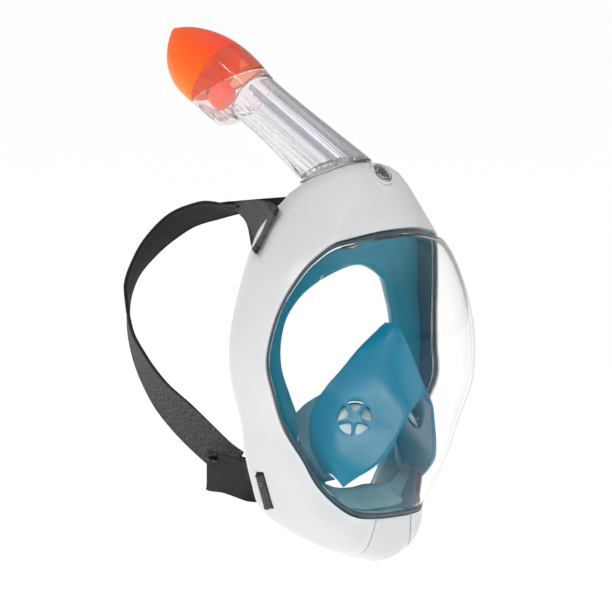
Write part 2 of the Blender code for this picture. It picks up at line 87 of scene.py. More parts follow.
def mirroredLoop(half, steps):
    other = [(-x, y, z) for x, y, z in half[-2:0:-1]]
    return spline(list(half) + other, steps, closed=True)


def insetLoop(loop, distance, forward=0.0):
    made = []
    for i, p in enumerate(loop):
        run = loop[(i + 1) % len(loop)] - loop[i - 1]
        side = Vector((run.z, 0, -run.x)).normalized()
        made.append(p + side * distance + Vector((0, forward, 0)))
    return made


def oval(halfWidth, halfDepth, offset=0.0, steps=72, squareness=2.3):
    made = []
    for k in range(steps):
        a = 2 * math.pi * k / steps
        c, s = math.cos(a), math.sin(a)
        made.append((halfWidth * rounded(c, 2 / squareness), offset + halfDepth * rounded(s, 2 / squareness)))
    return made


def level(points, height, slope=0.0):
    return [Vector((x, y, height + slope * y)) for x, y in points]


def interpolate(x, xs, ys):
    if x <= xs[0]:
        return ys[0]
    for k in range(1, len(xs)):
        if x <= xs[k]:
            share = (x - xs[k - 1]) / max(xs[k] - xs[k - 1], 1e-9)
            return ys[k - 1] + (ys[k] - ys[k - 1]) * share
    return ys[-1]


def selectOnly(piece):
    bpy.ops.object.select_all(action="DESELECT")
    piece.select_set(True)
    bpy.context.view_layer.objects.active = piece


def meshPiece(name, points, faces, matrix=None):
    mesh = bpy.data.meshes.new(name)
    mesh.from_pydata([Vector(p) * mm for p in points], [], faces)
    if matrix:
        mesh.transform(matrix)
    piece = bpy.data.objects.new(name, mesh)
    bpy.context.scene.collection.objects.link(piece)
    return piece


def skin(name, rings, closedRings=True, joinedEnds=False, capped=False, flip=False, matrix=None):
    columns, rows, faces = len(rings[0]), len(rings), []
    for r in range(rows if joinedEnds else rows - 1):
        for c in range(columns if closedRings else columns - 1):
            near, far = r * columns, ((r + 1) % rows) * columns
            nxt = (c + 1) % columns
            face = (near + c, near + nxt, far + nxt, far + c)
            faces.append(face[::-1] if flip else face)
    if capped:
        first, last = list(range(columns)), list(range((rows - 1) * columns, rows * columns))
        faces += [first if flip else first[::-1], last[::-1] if flip else last]
    return meshPiece(name, [p for ring in rings for p in ring], faces, matrix)


def applyModifiers(piece):
    selectOnly(piece)
    for modifier in list(piece.modifiers):
        bpy.ops.object.modifier_apply(modifier=modifier.name)


def wall(piece, thickness, offset=-1.0):
    solid = piece.modifiers.new("wall", "SOLIDIFY")
    solid.thickness, solid.offset = thickness * mm, offset
    solid.use_even_offset = True
    applyModifiers(piece)


def softEdges(piece, width, segments=2, angle=40):
    bevel = piece.modifiers.new("softEdges", "BEVEL")
    bevel.width, bevel.segments = width * mm, segments
    bevel.limit_method, bevel.angle_limit = "ANGLE", math.radians(angle)
    bevel.use_clamp_overlap = True
    applyModifiers(piece)


def carve(piece, cutters):
    for cutter in cutters:
        tool = piece.modifiers.new("carve", "BOOLEAN")
        tool.operation, tool.object, tool.solver = "DIFFERENCE", cutter, "EXACT"
    applyModifiers(piece)
    for cutter in cutters:
        bpy.data.objects.remove(cutter)


def boxCutter(size, centre, matrix=None):
    bpy.ops.object.select_all(action="DESELECT")
    bpy.ops.mesh.primitive_cube_add(size=1)
    cutter = bpy.context.object
    cutter.data.transform(Matrix.Diagonal((*(Vector(size) * mm), 1)))
    cutter.data.transform(Matrix.Translation(Vector(centre) * mm))
    if matrix:
        cutter.data.transform(matrix)
    return cutter


def ovalCutter(points, low, high, matrix):
    return skin("cutter", [level(points, low), level(points, high)], capped=True, matrix=matrix)


def turned(profile, steps):  # a ring of sections round the z axis
    turns = [math.tau * k / steps for k in range(steps)]
    return [[(r * math.cos(a), r * math.sin(a), z) for r, z in profile] for a in turns]


def runAt(points, k):  # which way an open line goes at one of its points
    return (points[min(k + 1, len(points) - 1)] - points[max(k - 1, 0)]).normalized()


def rounded(value, power):  # squares off a circle's sine or cosine
    return math.copysign(abs(value) ** power, value)


def editTopFaces(piece):
    selectOnly(piece)
    bpy.ops.object.mode_set(mode="EDIT")
    bpy.ops.mesh.select_all(action="DESELECT")
    form = bmesh.from_edit_mesh(piece.data)
    for face in form.faces:
        face.select_set(face.normal.z > 0.9)
    bmesh.update_edit_mesh(piece.data)


def pointing(point, direction):
    turn = Vector(direction).to_track_quat("Z", "Y").to_matrix().to_4x4()
    return Matrix.Translation(Vector(point) * mm) @ turn


def beadAlong(name, loop, radii, steps=10, closed=True):
    rings, n = [], len(loop)
    for i, p in enumerate(loop):
        if closed:
            run = loop[(i + 1) % n] - loop[i - 1]
        else:
            run = loop[min(i + 1, n - 1)] - loop[max(i - 1, 0)]
        run.normalize()
        side = Vector((run.z, 0, -run.x)).normalized()
        third = run.cross(side)
        ring = []
        for k in range(steps):
            a = 2 * math.pi * k / steps
            ring.append(p + side * radii[i] * math.cos(a) + third * radii[i] * math.sin(a))
        rings.append(ring)
    return skin(name, rings, joinedEnds=closed, capped=not closed)


def settle(piece, body, materials, nodes=(), angle=32):
    for material in (materials if isinstance(materials, list) else [materials]):
        piece.data.materials.append(material)
    selectOnly(piece)
    bpy.ops.object.shade_smooth_by_angle(angle=math.radians(angle))
    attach(piece, body)
    if nodes:
        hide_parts(*nodes)
    return piece


# materials
def spreadNodes(tree, columns=7):
    for i, node in enumerate(n for n in tree.nodes if n.type != "FRAME"):
        node.location = ((i % columns) * 210, -(i // columns) * 330)


def shellMaterial(name, colour, shade, roughness, grain):
    material = bpy.data.materials.new(name)
    material.use_nodes = True
    nodes, links = material.node_tree.nodes, material.node_tree.links
    nodes.clear()
    output = nodes.new("ShaderNodeOutputMaterial")
    output.label = "finished shell"
    shader = nodes.new("ShaderNodeBsdfPrincipled")
    shader.label = "moulded plastic"
    colourFrame = nodes.new("NodeFrame")
    colourFrame.label = "colour and edge wear"
    surfaceFrame = nodes.new("NodeFrame")
    surfaceFrame.label = "satin grain"
    place = nodes.new("ShaderNodeTexCoord")
    place.label = "place on the mask"
    cloud = nodes.new("ShaderNodeTexNoise")
    cloud.label = "slow shade from moulding"
    speck = nodes.new("ShaderNodeTexNoise")
    speck.label = "handling marks"
    mixShade = nodes.new("ShaderNodeMix")
    mixShade.label = "shade across the moulding"
    edge = nodes.new("ShaderNodeNewGeometry")
    edge.label = "corners of the moulding"
    edgeRamp = nodes.new("ShaderNodeValToRGB")
    edgeRamp.label = "rubbed corners"
    mixEdge = nodes.new("ShaderNodeMix")
    mixEdge.label = "paler rubbed corners"
    for node in (cloud, speck, mixShade, edge, edgeRamp, mixEdge):
        node.parent = colourFrame
    texture = nodes.new("ShaderNodeTexNoise")
    texture.label = "spark-eroded grain"
    bump = nodes.new("ShaderNodeBump")
    bump.label = "grain height"
    roughRange = nodes.new("ShaderNodeMapRange")
    roughRange.label = "satin to slightly polished"
    for node in (texture, bump, roughRange):
        node.parent = surfaceFrame
    cloud.inputs["Scale"].default_value = 14
    cloud.inputs["Detail"].default_value = 3
    speck.inputs["Scale"].default_value = 90
    speck.inputs["Detail"].default_value = 5
    texture.inputs["Scale"].default_value = grain
    texture.inputs["Detail"].default_value = 2
    mixShade.data_type = mixEdge.data_type = "RGBA"
    mixShade.inputs[6].default_value = (*colour, 1)
    mixShade.inputs[7].default_value = (*shade, 1)
    mixEdge.inputs[7].default_value = (min(colour[0] * 1.06, 1), min(colour[1] * 1.06, 1),
                                       min(colour[2] * 1.06, 1), 1)
    edgeRamp.color_ramp.elements[0].position = 0.52
    edgeRamp.color_ramp.elements[1].position = 0.60
    edgeRamp.color_ramp.elements[1].color = (0.6, 0.6, 0.6, 1)
    roughRange.inputs["To Min"].default_value = roughness - 0.06
    roughRange.inputs["To Max"].default_value = roughness + 0.08
    bump.inputs["Strength"].default_value = 0.10
    bump.inputs["Distance"].default_value = 0.0003
    shader.inputs["IOR"].default_value = 1.46
    shader.inputs["Coat Weight"].default_value = 0.12
    shader.inputs["Coat Roughness"].default_value = 0.28
    links.new(place.outputs["Object"], cloud.inputs["Vector"])
    links.new(place.outputs["Object"], speck.inputs["Vector"])
    links.new(place.outputs["Object"], texture.inputs["Vector"])
    links.new(cloud.outputs["Fac"], mixShade.inputs[0])
    links.new(mixShade.outputs[2], mixEdge.inputs[6])
    links.new(edge.outputs["Pointiness"], edgeRamp.inputs["Fac"])
    links.new(edgeRamp.outputs["Color"], mixEdge.inputs[0])
    links.new(mixEdge.outputs[2], shader.inputs["Base Color"])
    links.new(speck.outputs["Fac"], roughRange.inputs["Value"])
    links.new(roughRange.outputs["Result"], shader.inputs["Roughness"])
    links.new(texture.outputs["Fac"], bump.inputs["Height"])
    links.new(bump.outputs["Normal"], shader.inputs["Normal"])
    links.new(shader.outputs["BSDF"], output.inputs["Surface"])
    spreadNodes(material.node_tree)
    return material


def clearMaterial(name, colour, edgeTintAndShade, edgeFrom, edgeTo, roughness, milky, ripple, bend=1.33):
    material = bpy.data.materials.new(name)
    material.use_nodes = True
    nodes, links = material.node_tree.nodes, material.node_tree.links
    nodes.clear()
    output = nodes.new("ShaderNodeOutputMaterial")
    output.label = "finished clear plastic"
    shader = nodes.new("ShaderNodeBsdfPrincipled")
    shader.label = "polished polycarbonate"
    tintAndLightFrame = nodes.new("NodeFrame")
    tintAndLightFrame.label = "edges darker: thick tint and painted shade"
    flowFrame = nodes.new("NodeFrame")
    flowFrame.label = "moulding flow and fine scratches"
    lampFrame = nodes.new("NodeFrame")
    lampFrame.label = "lets light through"
    place = nodes.new("ShaderNodeTexCoord")
    place.label = "place on the mask"
    facing = nodes.new("ShaderNodeLayerWeight")
    facing.label = "seen edge on"
    ramp = nodes.new("ShaderNodeValToRGB")
    ramp.label = "clear to edge tint and painted shade"
    for node in (facing, ramp):
        node.parent = tintAndLightFrame
    flow = nodes.new("ShaderNodeTexNoise")
    flow.label = "flow waves"
    scratch = nodes.new("ShaderNodeTexNoise")
    scratch.label = "hairline scuffs"
    roughRange = nodes.new("ShaderNodeMapRange")
    roughRange.label = "polish with scuffs"
    bump = nodes.new("ShaderNodeBump")
    bump.label = "flow wave height"
    for node in (flow, scratch, roughRange, bump):
        node.parent = flowFrame
    path = nodes.new("ShaderNodeLightPath")
    path.label = "kind of ray"
    lampRange = nodes.new("ShaderNodeMapRange")
    lampRange.label = "thin shadow"
    for node in (path, lampRange):
        node.parent = lampFrame
    facing.inputs["Blend"].default_value = 0.5
    ramp.color_ramp.elements[0].position = edgeFrom
    ramp.color_ramp.elements[0].color = (*colour, 1)
    ramp.color_ramp.elements[1].position = edgeTo
    ramp.color_ramp.elements[1].color = (*edgeTintAndShade, 1)
    flow.inputs["Scale"].default_value = 22
    flow.inputs["Detail"].default_value = 1
    scratch.inputs["Scale"].default_value = 700
    scratch.inputs["Detail"].default_value = 4
    roughRange.inputs["From Min"].default_value = 0.45
    roughRange.inputs["From Max"].default_value = 0.8
    roughRange.inputs["To Min"].default_value = roughness
    roughRange.inputs["To Max"].default_value = roughness + 0.05
    bump.inputs["Strength"].default_value = ripple
    bump.inputs["Distance"].default_value = 0.0006
    lampRange.inputs["To Min"].default_value = 1.0
    lampRange.inputs["To Max"].default_value = 0.12
    shader.inputs["Transmission Weight"].default_value = 1.0 - milky
    shader.inputs["IOR"].default_value = bend
    links.new(place.outputs["Object"], flow.inputs["Vector"])
    links.new(place.outputs["Object"], scratch.inputs["Vector"])
    # seen edge on, the colour darkens to the edge colour: partly tint through the thick edge, partly painted
    # shade standing in for the dark outline that refraction gives
    links.new(facing.outputs["Facing"], ramp.inputs["Fac"])
    links.new(ramp.outputs["Color"], shader.inputs["Base Color"])
    links.new(scratch.outputs["Fac"], roughRange.inputs["Value"])
    links.new(roughRange.outputs["Result"], shader.inputs["Roughness"])
    links.new(flow.outputs["Fac"], bump.inputs["Height"])
    links.new(bump.outputs["Normal"], shader.inputs["Normal"])
    links.new(path.outputs["Is Shadow Ray"], lampRange.inputs["Value"])
    links.new(lampRange.outputs["Result"], shader.inputs["Alpha"])
    links.new(shader.outputs["BSDF"], output.inputs["Surface"])
    spreadNodes(material.node_tree)
    return material


# deep and lit are shaded and lit copies of one silicone colour, blended by height: painted light, mostly a
# paler glow low on the skirt standing in for light coming through the silicone
def siliconeMaterial(name, deep, lit, direction, lowEdge, highEdge, roughness, glow):
    material = bpy.data.materials.new(name)
    material.use_nodes = True
    nodes, links = material.node_tree.nodes, material.node_tree.links
    nodes.clear()
    output = nodes.new("ShaderNodeOutputMaterial")
    output.label = "finished silicone"
    shader = nodes.new("ShaderNodeBsdfPrincipled")
    shader.label = "soft silicone"
    paintedGlowFrame = nodes.new("NodeFrame")
    paintedGlowFrame.label = "painted light lower down and at the outline"
    skinFrame = nodes.new("NodeFrame")
    skinFrame.label = "powdery skin"
    place = nodes.new("ShaderNodeTexCoord")
    place.label = "place on the mask"
    along = nodes.new("ShaderNodeVectorMath")
    along.label = "way towards the light"
    fade = nodes.new("ShaderNodeMapRange")
    fade.label = "painted glow lower down"
    cloud = nodes.new("ShaderNodeTexNoise")
    cloud.label = "uneven pigment"
    shift = nodes.new("ShaderNodeMath")
    shift.label = "broken edge of the glow"
    mixPaintedGlow = nodes.new("ShaderNodeMix")
    mixPaintedGlow.label = "deep to lit colour"
    rim = nodes.new("ShaderNodeLayerWeight")
    rim.label = "painted sheen at the outline"
    rimSheenScale = nodes.new("ShaderNodeMath")
    rimSheenScale.label = "little painted rim sheen"
    mixRimSheen = nodes.new("ShaderNodeMix")
    mixRimSheen.label = "painted sheen on the outline"
    for node in (along, fade, cloud, shift, mixPaintedGlow, rim, rimSheenScale, mixRimSheen):
        node.parent = paintedGlowFrame
    fine = nodes.new("ShaderNodeTexNoise")
    fine.label = "fine skin"
    smear = nodes.new("ShaderNodeTexNoise")
    smear.label = "wiped and dusty patches"
    roughRange = nodes.new("ShaderNodeMapRange")
    roughRange.label = "wiped to dusty"
    bump = nodes.new("ShaderNodeBump")
    bump.label = "skin height"
    for node in (fine, smear, roughRange, bump):
        node.parent = skinFrame
    along.operation = "DOT_PRODUCT"
    along.inputs[1].default_value = direction
    fade.inputs["From Min"].default_value = lowEdge
    fade.inputs["From Max"].default_value = highEdge
    fade.interpolation_type = "SMOOTHSTEP"
    cloud.inputs["Scale"].default_value = 30
    cloud.inputs["Detail"].default_value = 3
    shift.operation = "MULTIPLY_ADD"
    shift.inputs[1].default_value = 0.012
    mixPaintedGlow.data_type = mixRimSheen.data_type = "RGBA"
    mixPaintedGlow.inputs[6].default_value = (*deep, 1)
    mixPaintedGlow.inputs[7].default_value = (*lit, 1)
    rim.inputs["Blend"].default_value = 0.25
    rimSheenScale.operation = "MULTIPLY"
    rimSheenScale.inputs[1].default_value = 0.05
    mixRimSheen.inputs[7].default_value = (0.55, 0.72, 0.78, 1)
    fine.inputs["Scale"].default_value = 1400
    fine.inputs["Detail"].default_value = 2
    smear.inputs["Scale"].default_value = 38
    smear.inputs["Detail"].default_value = 4
    roughRange.inputs["From Min"].default_value = 0.35
    roughRange.inputs["From Max"].default_value = 0.7
    roughRange.inputs["To Min"].default_value = roughness
    roughRange.inputs["To Max"].default_value = roughness + 0.12
    bump.inputs["Strength"].default_value = 0.08
    bump.inputs["Distance"].default_value = 0.0002
    shader.inputs["Subsurface Weight"].default_value = glow
    shader.inputs["Subsurface Radius"].default_value = (0.2, 0.9, 1.0)
    shader.inputs["Subsurface Scale"].default_value = 0.004
    shader.inputs["IOR"].default_value = 1.41
    shader.inputs["Specular IOR Level"].default_value = 0.26
    links.new(place.outputs["Object"], along.inputs[0])
    links.new(place.outputs["Object"], cloud.inputs["Vector"])
    links.new(place.outputs["Object"], fine.inputs["Vector"])
    links.new(place.outputs["Object"], smear.inputs["Vector"])
    links.new(cloud.outputs["Fac"], shift.inputs[0])
    links.new(along.outputs["Value"], shift.inputs[2])
    links.new(shift.outputs["Value"], fade.inputs["Value"])
    links.new(fade.outputs["Result"], mixPaintedGlow.inputs[0])
    links.new(mixPaintedGlow.outputs[2], mixRimSheen.inputs[6])
    # paler colour where the surface is seen edge on: painted sheen
    links.new(rim.outputs["Facing"], rimSheenScale.inputs[0])
    links.new(rimSheenScale.outputs["Value"], mixRimSheen.inputs[0])
    links.new(mixRimSheen.outputs[2], shader.inputs["Base Color"])
    links.new(smear.outputs["Fac"], roughRange.inputs["Value"])
    links.new(roughRange.outputs["Result"], shader.inputs["Roughness"])
    links.new(fine.outputs["Fac"], bump.inputs["Height"])
    links.new(bump.outputs["Normal"], shader.inputs["Normal"])
    links.new(shader.outputs["BSDF"], output.inputs["Surface"])
    spreadNodes(material.node_tree)
    return material


def knitMaterial(name, dark, light, edgeAt, bindColour, heather):
    material = bpy.data.materials.new(name)
    material.use_nodes = True
    nodes, links = material.node_tree.nodes, material.node_tree.links
    nodes.clear()
    output = nodes.new("ShaderNodeOutputMaterial")
    output.label = "finished webbing"
    shader = nodes.new("ShaderNodeBsdfPrincipled")
    shader.label = "elastic yarn"
    yarnFrame = nodes.new("NodeFrame")
    yarnFrame.label = "heather yarn colours"
    weaveFrame = nodes.new("NodeFrame")
    weaveFrame.label = "ribs and picks"
    bindFrame = nodes.new("NodeFrame")
    bindFrame.label = "bound edges"
    uv = nodes.new("ShaderNodeUVMap")
    uv.label = "along the strap"
    split = nodes.new("ShaderNodeSeparateXYZ")
    split.label = "across and along"
    stretch = nodes.new("ShaderNodeMapping")
    stretch.label = "yarn slivers"
    sliver = nodes.new("ShaderNodeTexNoise")
    sliver.label = "mixed fibres"
    blot = nodes.new("ShaderNodeTexNoise")
    blot.label = "rubbed patches"
    sliverRamp = nodes.new("ShaderNodeValToRGB")
    sliverRamp.label = "dark and pale fibres"
    mixBlot = nodes.new("ShaderNodeMix")
    mixBlot.label = "rubbed colour"
    for node in (stretch, sliver, blot, sliverRamp, mixBlot):
        node.parent = yarnFrame
    ribs = nodes.new("ShaderNodeTexWave")
    ribs.label = "ribs along the strap"
    picks = nodes.new("ShaderNodeTexWave")
    picks.label = "picks across the strap"
    cross = nodes.new("ShaderNodeMath")
    cross.label = "knit height"
    bump = nodes.new("ShaderNodeBump")
    bump.label = "knit bump"
    mixShadow = nodes.new("ShaderNodeMix")
    mixShadow.label = "shade between ribs"
    ribShade = nodes.new("ShaderNodeMapRange")
    ribShade.label = "depth of the shade"
    ribShade.inputs["To Min"].default_value = 0.28
    ribShade.inputs["To Max"].default_value = 0.0
    for node in (ribs, picks, cross, bump, mixShadow, ribShade):
        node.parent = weaveFrame
    distance = nodes.new("ShaderNodeMath")
    distance.label = "distance from the middle"
    edge = nodes.new("ShaderNodeMapRange")
    edge.label = "edge binding"
    mixBind = nodes.new("ShaderNodeMix")
    mixBind.label = "binding colour"
    for node in (distance, edge, mixBind):
        node.parent = bindFrame
    uv.uv_map = "strapWeave"
    stretch.inputs["Scale"].default_value = (1900, 520, 1)
    sliver.inputs["Scale"].default_value = 1.0
    sliver.inputs["Detail"].default_value = 3
    blot.inputs["Scale"].default_value = 130
    blot.inputs["Detail"].default_value = 4
    sliverRamp.color_ramp.elements[0].position = 0.5 - heather
    sliverRamp.color_ramp.elements[0].color = (*dark, 1)
    sliverRamp.color_ramp.elements[1].position = 0.5 + heather
    sliverRamp.color_ramp.elements[1].color = (*light, 1)
    mixBlot.data_type = mixShadow.data_type = mixBind.data_type = "RGBA"
    mixBlot.blend_type = "MULTIPLY"
    mixBlot.inputs[0].default_value = 0.35
    ribs.bands_direction, picks.bands_direction = "X", "Y"
    ribs.inputs["Scale"].default_value = 420
    ribs.inputs["Distortion"].default_value = 0.6
    picks.inputs["Scale"].default_value = 520
    picks.inputs["Distortion"].default_value = 1.2
    cross.operation = "MULTIPLY_ADD"
    cross.inputs[1].default_value = 0.55
    bump.inputs["Strength"].default_value = 0.5
    bump.inputs["Distance"].default_value = 0.0002
    mixShadow.inputs[7].default_value = (dark[0] * 0.4, dark[1] * 0.4, dark[2] * 0.4, 1)
    distance.operation = "ABSOLUTE"
    edge.inputs["From Min"].default_value = edgeAt
    edge.inputs["From Max"].default_value = edgeAt + 0.0003
    mixBind.inputs[7].default_value = (*bindColour, 1)
    shader.inputs["Roughness"].default_value = 0.92
    shader.inputs["Sheen Weight"].default_value = 0.08
    shader.inputs["Sheen Roughness"].default_value = 0.5
    shader.inputs["Specular IOR Level"].default_value = 0.2
    links.new(uv.outputs["UV"], split.inputs["Vector"])
    links.new(uv.outputs["UV"], stretch.inputs["Vector"])
    links.new(stretch.outputs["Vector"], sliver.inputs["Vector"])
    links.new(uv.outputs["UV"], blot.inputs["Vector"])
    links.new(uv.outputs["UV"], ribs.inputs["Vector"])
    links.new(uv.outputs["UV"], picks.inputs["Vector"])
    links.new(sliver.outputs["Fac"], sliverRamp.inputs["Fac"])
    links.new(sliverRamp.outputs["Color"], mixBlot.inputs[6])
    links.new(blot.outputs["Color"], mixBlot.inputs[7])
    links.new(picks.outputs["Fac"], cross.inputs[0])
    links.new(ribs.outputs["Fac"], cross.inputs[2])
    links.new(ribShade.outputs["Result"], mixShadow.inputs[0])
    links.new(ribs.outputs["Fac"], ribShade.inputs["Value"])
    links.new(mixBlot.outputs[2], mixShadow.inputs[6])
    links.new(split.outputs["X"], distance.inputs[0])
    links.new(distance.outputs["Value"], edge.inputs["Value"])
    links.new(edge.outputs["Result"], mixBind.inputs[0])
    links.new(mixShadow.outputs[2], mixBind.inputs[6])
    links.new(mixBind.outputs[2], shader.inputs["Base Color"])
    links.new(cross.outputs["Value"], bump.inputs["Height"])
    links.new(bump.outputs["Normal"], shader.inputs["Normal"])
    links.new(shader.outputs["BSDF"], output.inputs["Surface"])
    spreadNodes(material.node_tree)
    return material


def capMaterial(name, low, middle, high, see, glow):
    material = bpy.data.materials.new(name)
    material.use_nodes = True
    nodes, links = material.node_tree.nodes, material.node_tree.links
    nodes.clear()
    output = nodes.new("ShaderNodeOutputMaterial")
    output.label = "finished signal cap"
    shader = nodes.new("ShaderNodeBsdfPrincipled")
    shader.label = "tinted plastic"
    tintAndLightFrame = nodes.new("NodeFrame")
    tintAndLightFrame.label = "light glowing through the underside"
    skinFrame = nodes.new("NodeFrame")
    skinFrame.label = "polish"
    place = nodes.new("ShaderNodeTexCoord")
    place.label = "place on the mask"
    along = nodes.new("ShaderNodeVectorMath")
    along.label = "underside to top"
    fade = nodes.new("ShaderNodeMapRange")
    fade.label = "share of the way"
    cloud = nodes.new("ShaderNodeTexNoise")
    cloud.label = "pigment streaks"
    shift = nodes.new("ShaderNodeMath")
    shift.label = "broken fade"
    ramp = nodes.new("ShaderNodeValToRGB")
    ramp.label = "amber to red"
    for node in (along, fade, cloud, shift, ramp):
        node.parent = tintAndLightFrame
    scuff = nodes.new("ShaderNodeTexNoise")
    scuff.label = "scuffs"
    roughRange = nodes.new("ShaderNodeMapRange")
    roughRange.label = "gloss range"
    bump = nodes.new("ShaderNodeBump")
    bump.label = "faint orange peel"
    for node in (scuff, roughRange, bump):
        node.parent = skinFrame
    along.operation = "DOT_PRODUCT"
    along.inputs[1].default_value = (0, 0.5225, -0.8526)
    fade.inputs["From Min"].default_value = -0.0795
    fade.inputs["From Max"].default_value = -0.1345
    cloud.inputs["Scale"].default_value = 26
    shift.operation = "MULTIPLY_ADD"
    shift.inputs[1].default_value = 0.008
    # the underside is painted a paler amber than the red top: painted glow of light coming through the plastic
    ramp.color_ramp.elements[0].color = (*low, 1)
    ramp.color_ramp.elements[1].color = (*high, 1)
    centre = ramp.color_ramp.elements.new(0.45)
    centre.color = (*middle, 1)
    scuff.inputs["Scale"].default_value = 260
    scuff.inputs["Detail"].default_value = 4
    roughRange.inputs["To Min"].default_value = 0.22
    roughRange.inputs["To Max"].default_value = 0.42
    bump.inputs["Strength"].default_value = 0.08
    bump.inputs["Distance"].default_value = 0.0004
    shader.inputs["Subsurface Weight"].default_value = 0.35
    shader.inputs["Subsurface Radius"].default_value = (1.0, 0.35, 0.08)
    shader.inputs["Subsurface Scale"].default_value = 0.006
    shader.inputs["Transmission Weight"].default_value = see
    # emission fed from the same ramp: painted glow, the cap is no lamp
    shader.inputs["Emission Strength"].default_value = glow
    shader.inputs["Specular IOR Level"].default_value = 0.35
    shader.inputs["IOR"].default_value = 1.45
    links.new(place.outputs["Object"], along.inputs[0])
    links.new(place.outputs["Object"], cloud.inputs["Vector"])
    links.new(place.outputs["Object"], scuff.inputs["Vector"])
    links.new(cloud.outputs["Fac"], shift.inputs[0])
    links.new(along.outputs["Value"], shift.inputs[2])
    links.new(shift.outputs["Value"], fade.inputs["Value"])
    links.new(fade.outputs["Result"], ramp.inputs["Fac"])
    links.new(ramp.outputs["Color"], shader.inputs["Base Color"])
    links.new(ramp.outputs["Color"], shader.inputs["Emission Color"])
    links.new(scuff.outputs["Fac"], roughRange.inputs["Value"])
    links.new(roughRange.outputs["Result"], shader.inputs["Roughness"])
    links.new(scuff.outputs["Fac"], bump.inputs["Height"])
    links.new(bump.outputs["Normal"], shader.inputs["Normal"])
    links.new(shader.outputs["BSDF"], output.inputs["Surface"])
    spreadNodes(material.node_tree)
    return material


def plainRubberMaterial(name, colour, pale, roughness, scale, metallic=0.0):
    material = bpy.data.materials.new(name)
    material.use_nodes = True
    nodes, links = material.node_tree.nodes, material.node_tree.links
    nodes.clear()
    output = nodes.new("ShaderNodeOutputMaterial")
    output.label = "finished small part"
    shader = nodes.new("ShaderNodeBsdfPrincipled")
    shader.label = "small part"
    colourFrame = nodes.new("NodeFrame")
    colourFrame.label = "bloom and dust"
    skinFrame = nodes.new("NodeFrame")
    skinFrame.label = "surface texture"
    place = nodes.new("ShaderNodeTexCoord")
    place.label = "place on the mask"
    bloom = nodes.new("ShaderNodeTexNoise")
    bloom.label = "bloom"
    mixBloom = nodes.new("ShaderNodeMix")
    mixBloom.label = "bloomed colour"
    for node in (bloom, mixBloom):
        node.parent = colourFrame
    fine = nodes.new("ShaderNodeTexNoise")
    fine.label = "fine texture"
    roughRange = nodes.new("ShaderNodeMapRange")
    roughRange.label = "polish range"
    bump = nodes.new("ShaderNodeBump")
    bump.label = "texture height"
    for node in (fine, roughRange, bump):
        node.parent = skinFrame
    bloom.inputs["Scale"].default_value = scale * 0.12
    bloom.inputs["Detail"].default_value = 4
    mixBloom.data_type = "RGBA"
    mixBloom.inputs[6].default_value = (*colour, 1)
    mixBloom.inputs[7].default_value = (*pale, 1)
    fine.inputs["Scale"].default_value = scale
    fine.inputs["Detail"].default_value = 3
    roughRange.inputs["To Min"].default_value = roughness - 0.08
    roughRange.inputs["To Max"].default_value = roughness + 0.1
    bump.inputs["Strength"].default_value = 0.25
    bump.inputs["Distance"].default_value = 0.0001
    shader.inputs["Metallic"].default_value = metallic
    links.new(place.outputs["Object"], bloom.inputs["Vector"])
    links.new(place.outputs["Object"], fine.inputs["Vector"])
    links.new(bloom.outputs["Fac"], mixBloom.inputs[0])
    links.new(mixBloom.outputs[2], shader.inputs["Base Color"])
    links.new(fine.outputs["Fac"], roughRange.inputs["Value"])
    links.new(roughRange.outputs["Result"], shader.inputs["Roughness"])
    links.new(fine.outputs["Fac"], bump.inputs["Height"])
    links.new(bump.outputs["Normal"], shader.inputs["Normal"])
    links.new(shader.outputs["BSDF"], output.inputs["Surface"])
    spreadNodes(material.node_tree)
    return material


def floorMaterial(colour, glow):
    material = bpy.data.materials.new("studioFloor")
    material.use_nodes = True
    nodes, links = material.node_tree.nodes, material.node_tree.links
    nodes.clear()
    output = nodes.new("ShaderNodeOutputMaterial")
    output.label = "finished floor"
    shader = nodes.new("ShaderNodeBsdfPrincipled")
    shader.label = "white card"
    shader.inputs["Base Color"].default_value = (*colour, 1)
    shader.inputs["Roughness"].default_value = 0.9
    shader.inputs["Emission Color"].default_value = (1, 1, 1, 1)
    shader.inputs["Emission Strength"].default_value = glow
    links.new(shader.outputs["BSDF"], output.inputs["Surface"])
    spreadNodes(material.node_tree)
    return material


whiteShell = shellMaterial("whiteShell", (0.72, 0.73, 0.745), (0.68, 0.69, 0.705), 0.36, 1500)
whiteInner = shellMaterial("whiteInner", (0.72, 0.73, 0.75), (0.66, 0.67, 0.70), 0.45, 1500)
# the dark edge colours below are partly tint and partly painted shade on the outlines
visorClear = clearMaterial("visorClear", (1, 1, 1), (0.05, 0.14, 0.18), 0.76, 0.93, 0.015, 0.0, 0.04, 1.18)
tubeClear = clearMaterial("tubeClear", (0.955, 0.955, 0.965), (0.08, 0.09, 0.11), 0.50, 0.97, 0.03, 0.04,
                          0.14)
cageClear = clearMaterial("cageClear", (0.97, 0.91, 0.91), (0.28, 0.22, 0.24), 0.50, 0.97, 0.05, 0.06, 0.12)
ductClear = clearMaterial("ductClear", (0.95, 0.95, 0.96), (0.30, 0.33, 0.38), 0.62, 0.97, 0.06, 0.03, 0.10)
webGrey = clearMaterial("webGrey", (0.55, 0.58, 0.64), (0.30, 0.33, 0.40), 0.30, 0.95, 0.20, 0.30, 0.10)
capThin = clearMaterial("capThin", (1.0, 0.42, 0.28), (0.85, 0.10, 0.06), 0.35, 0.95, 0.08, 0.12, 0.10)
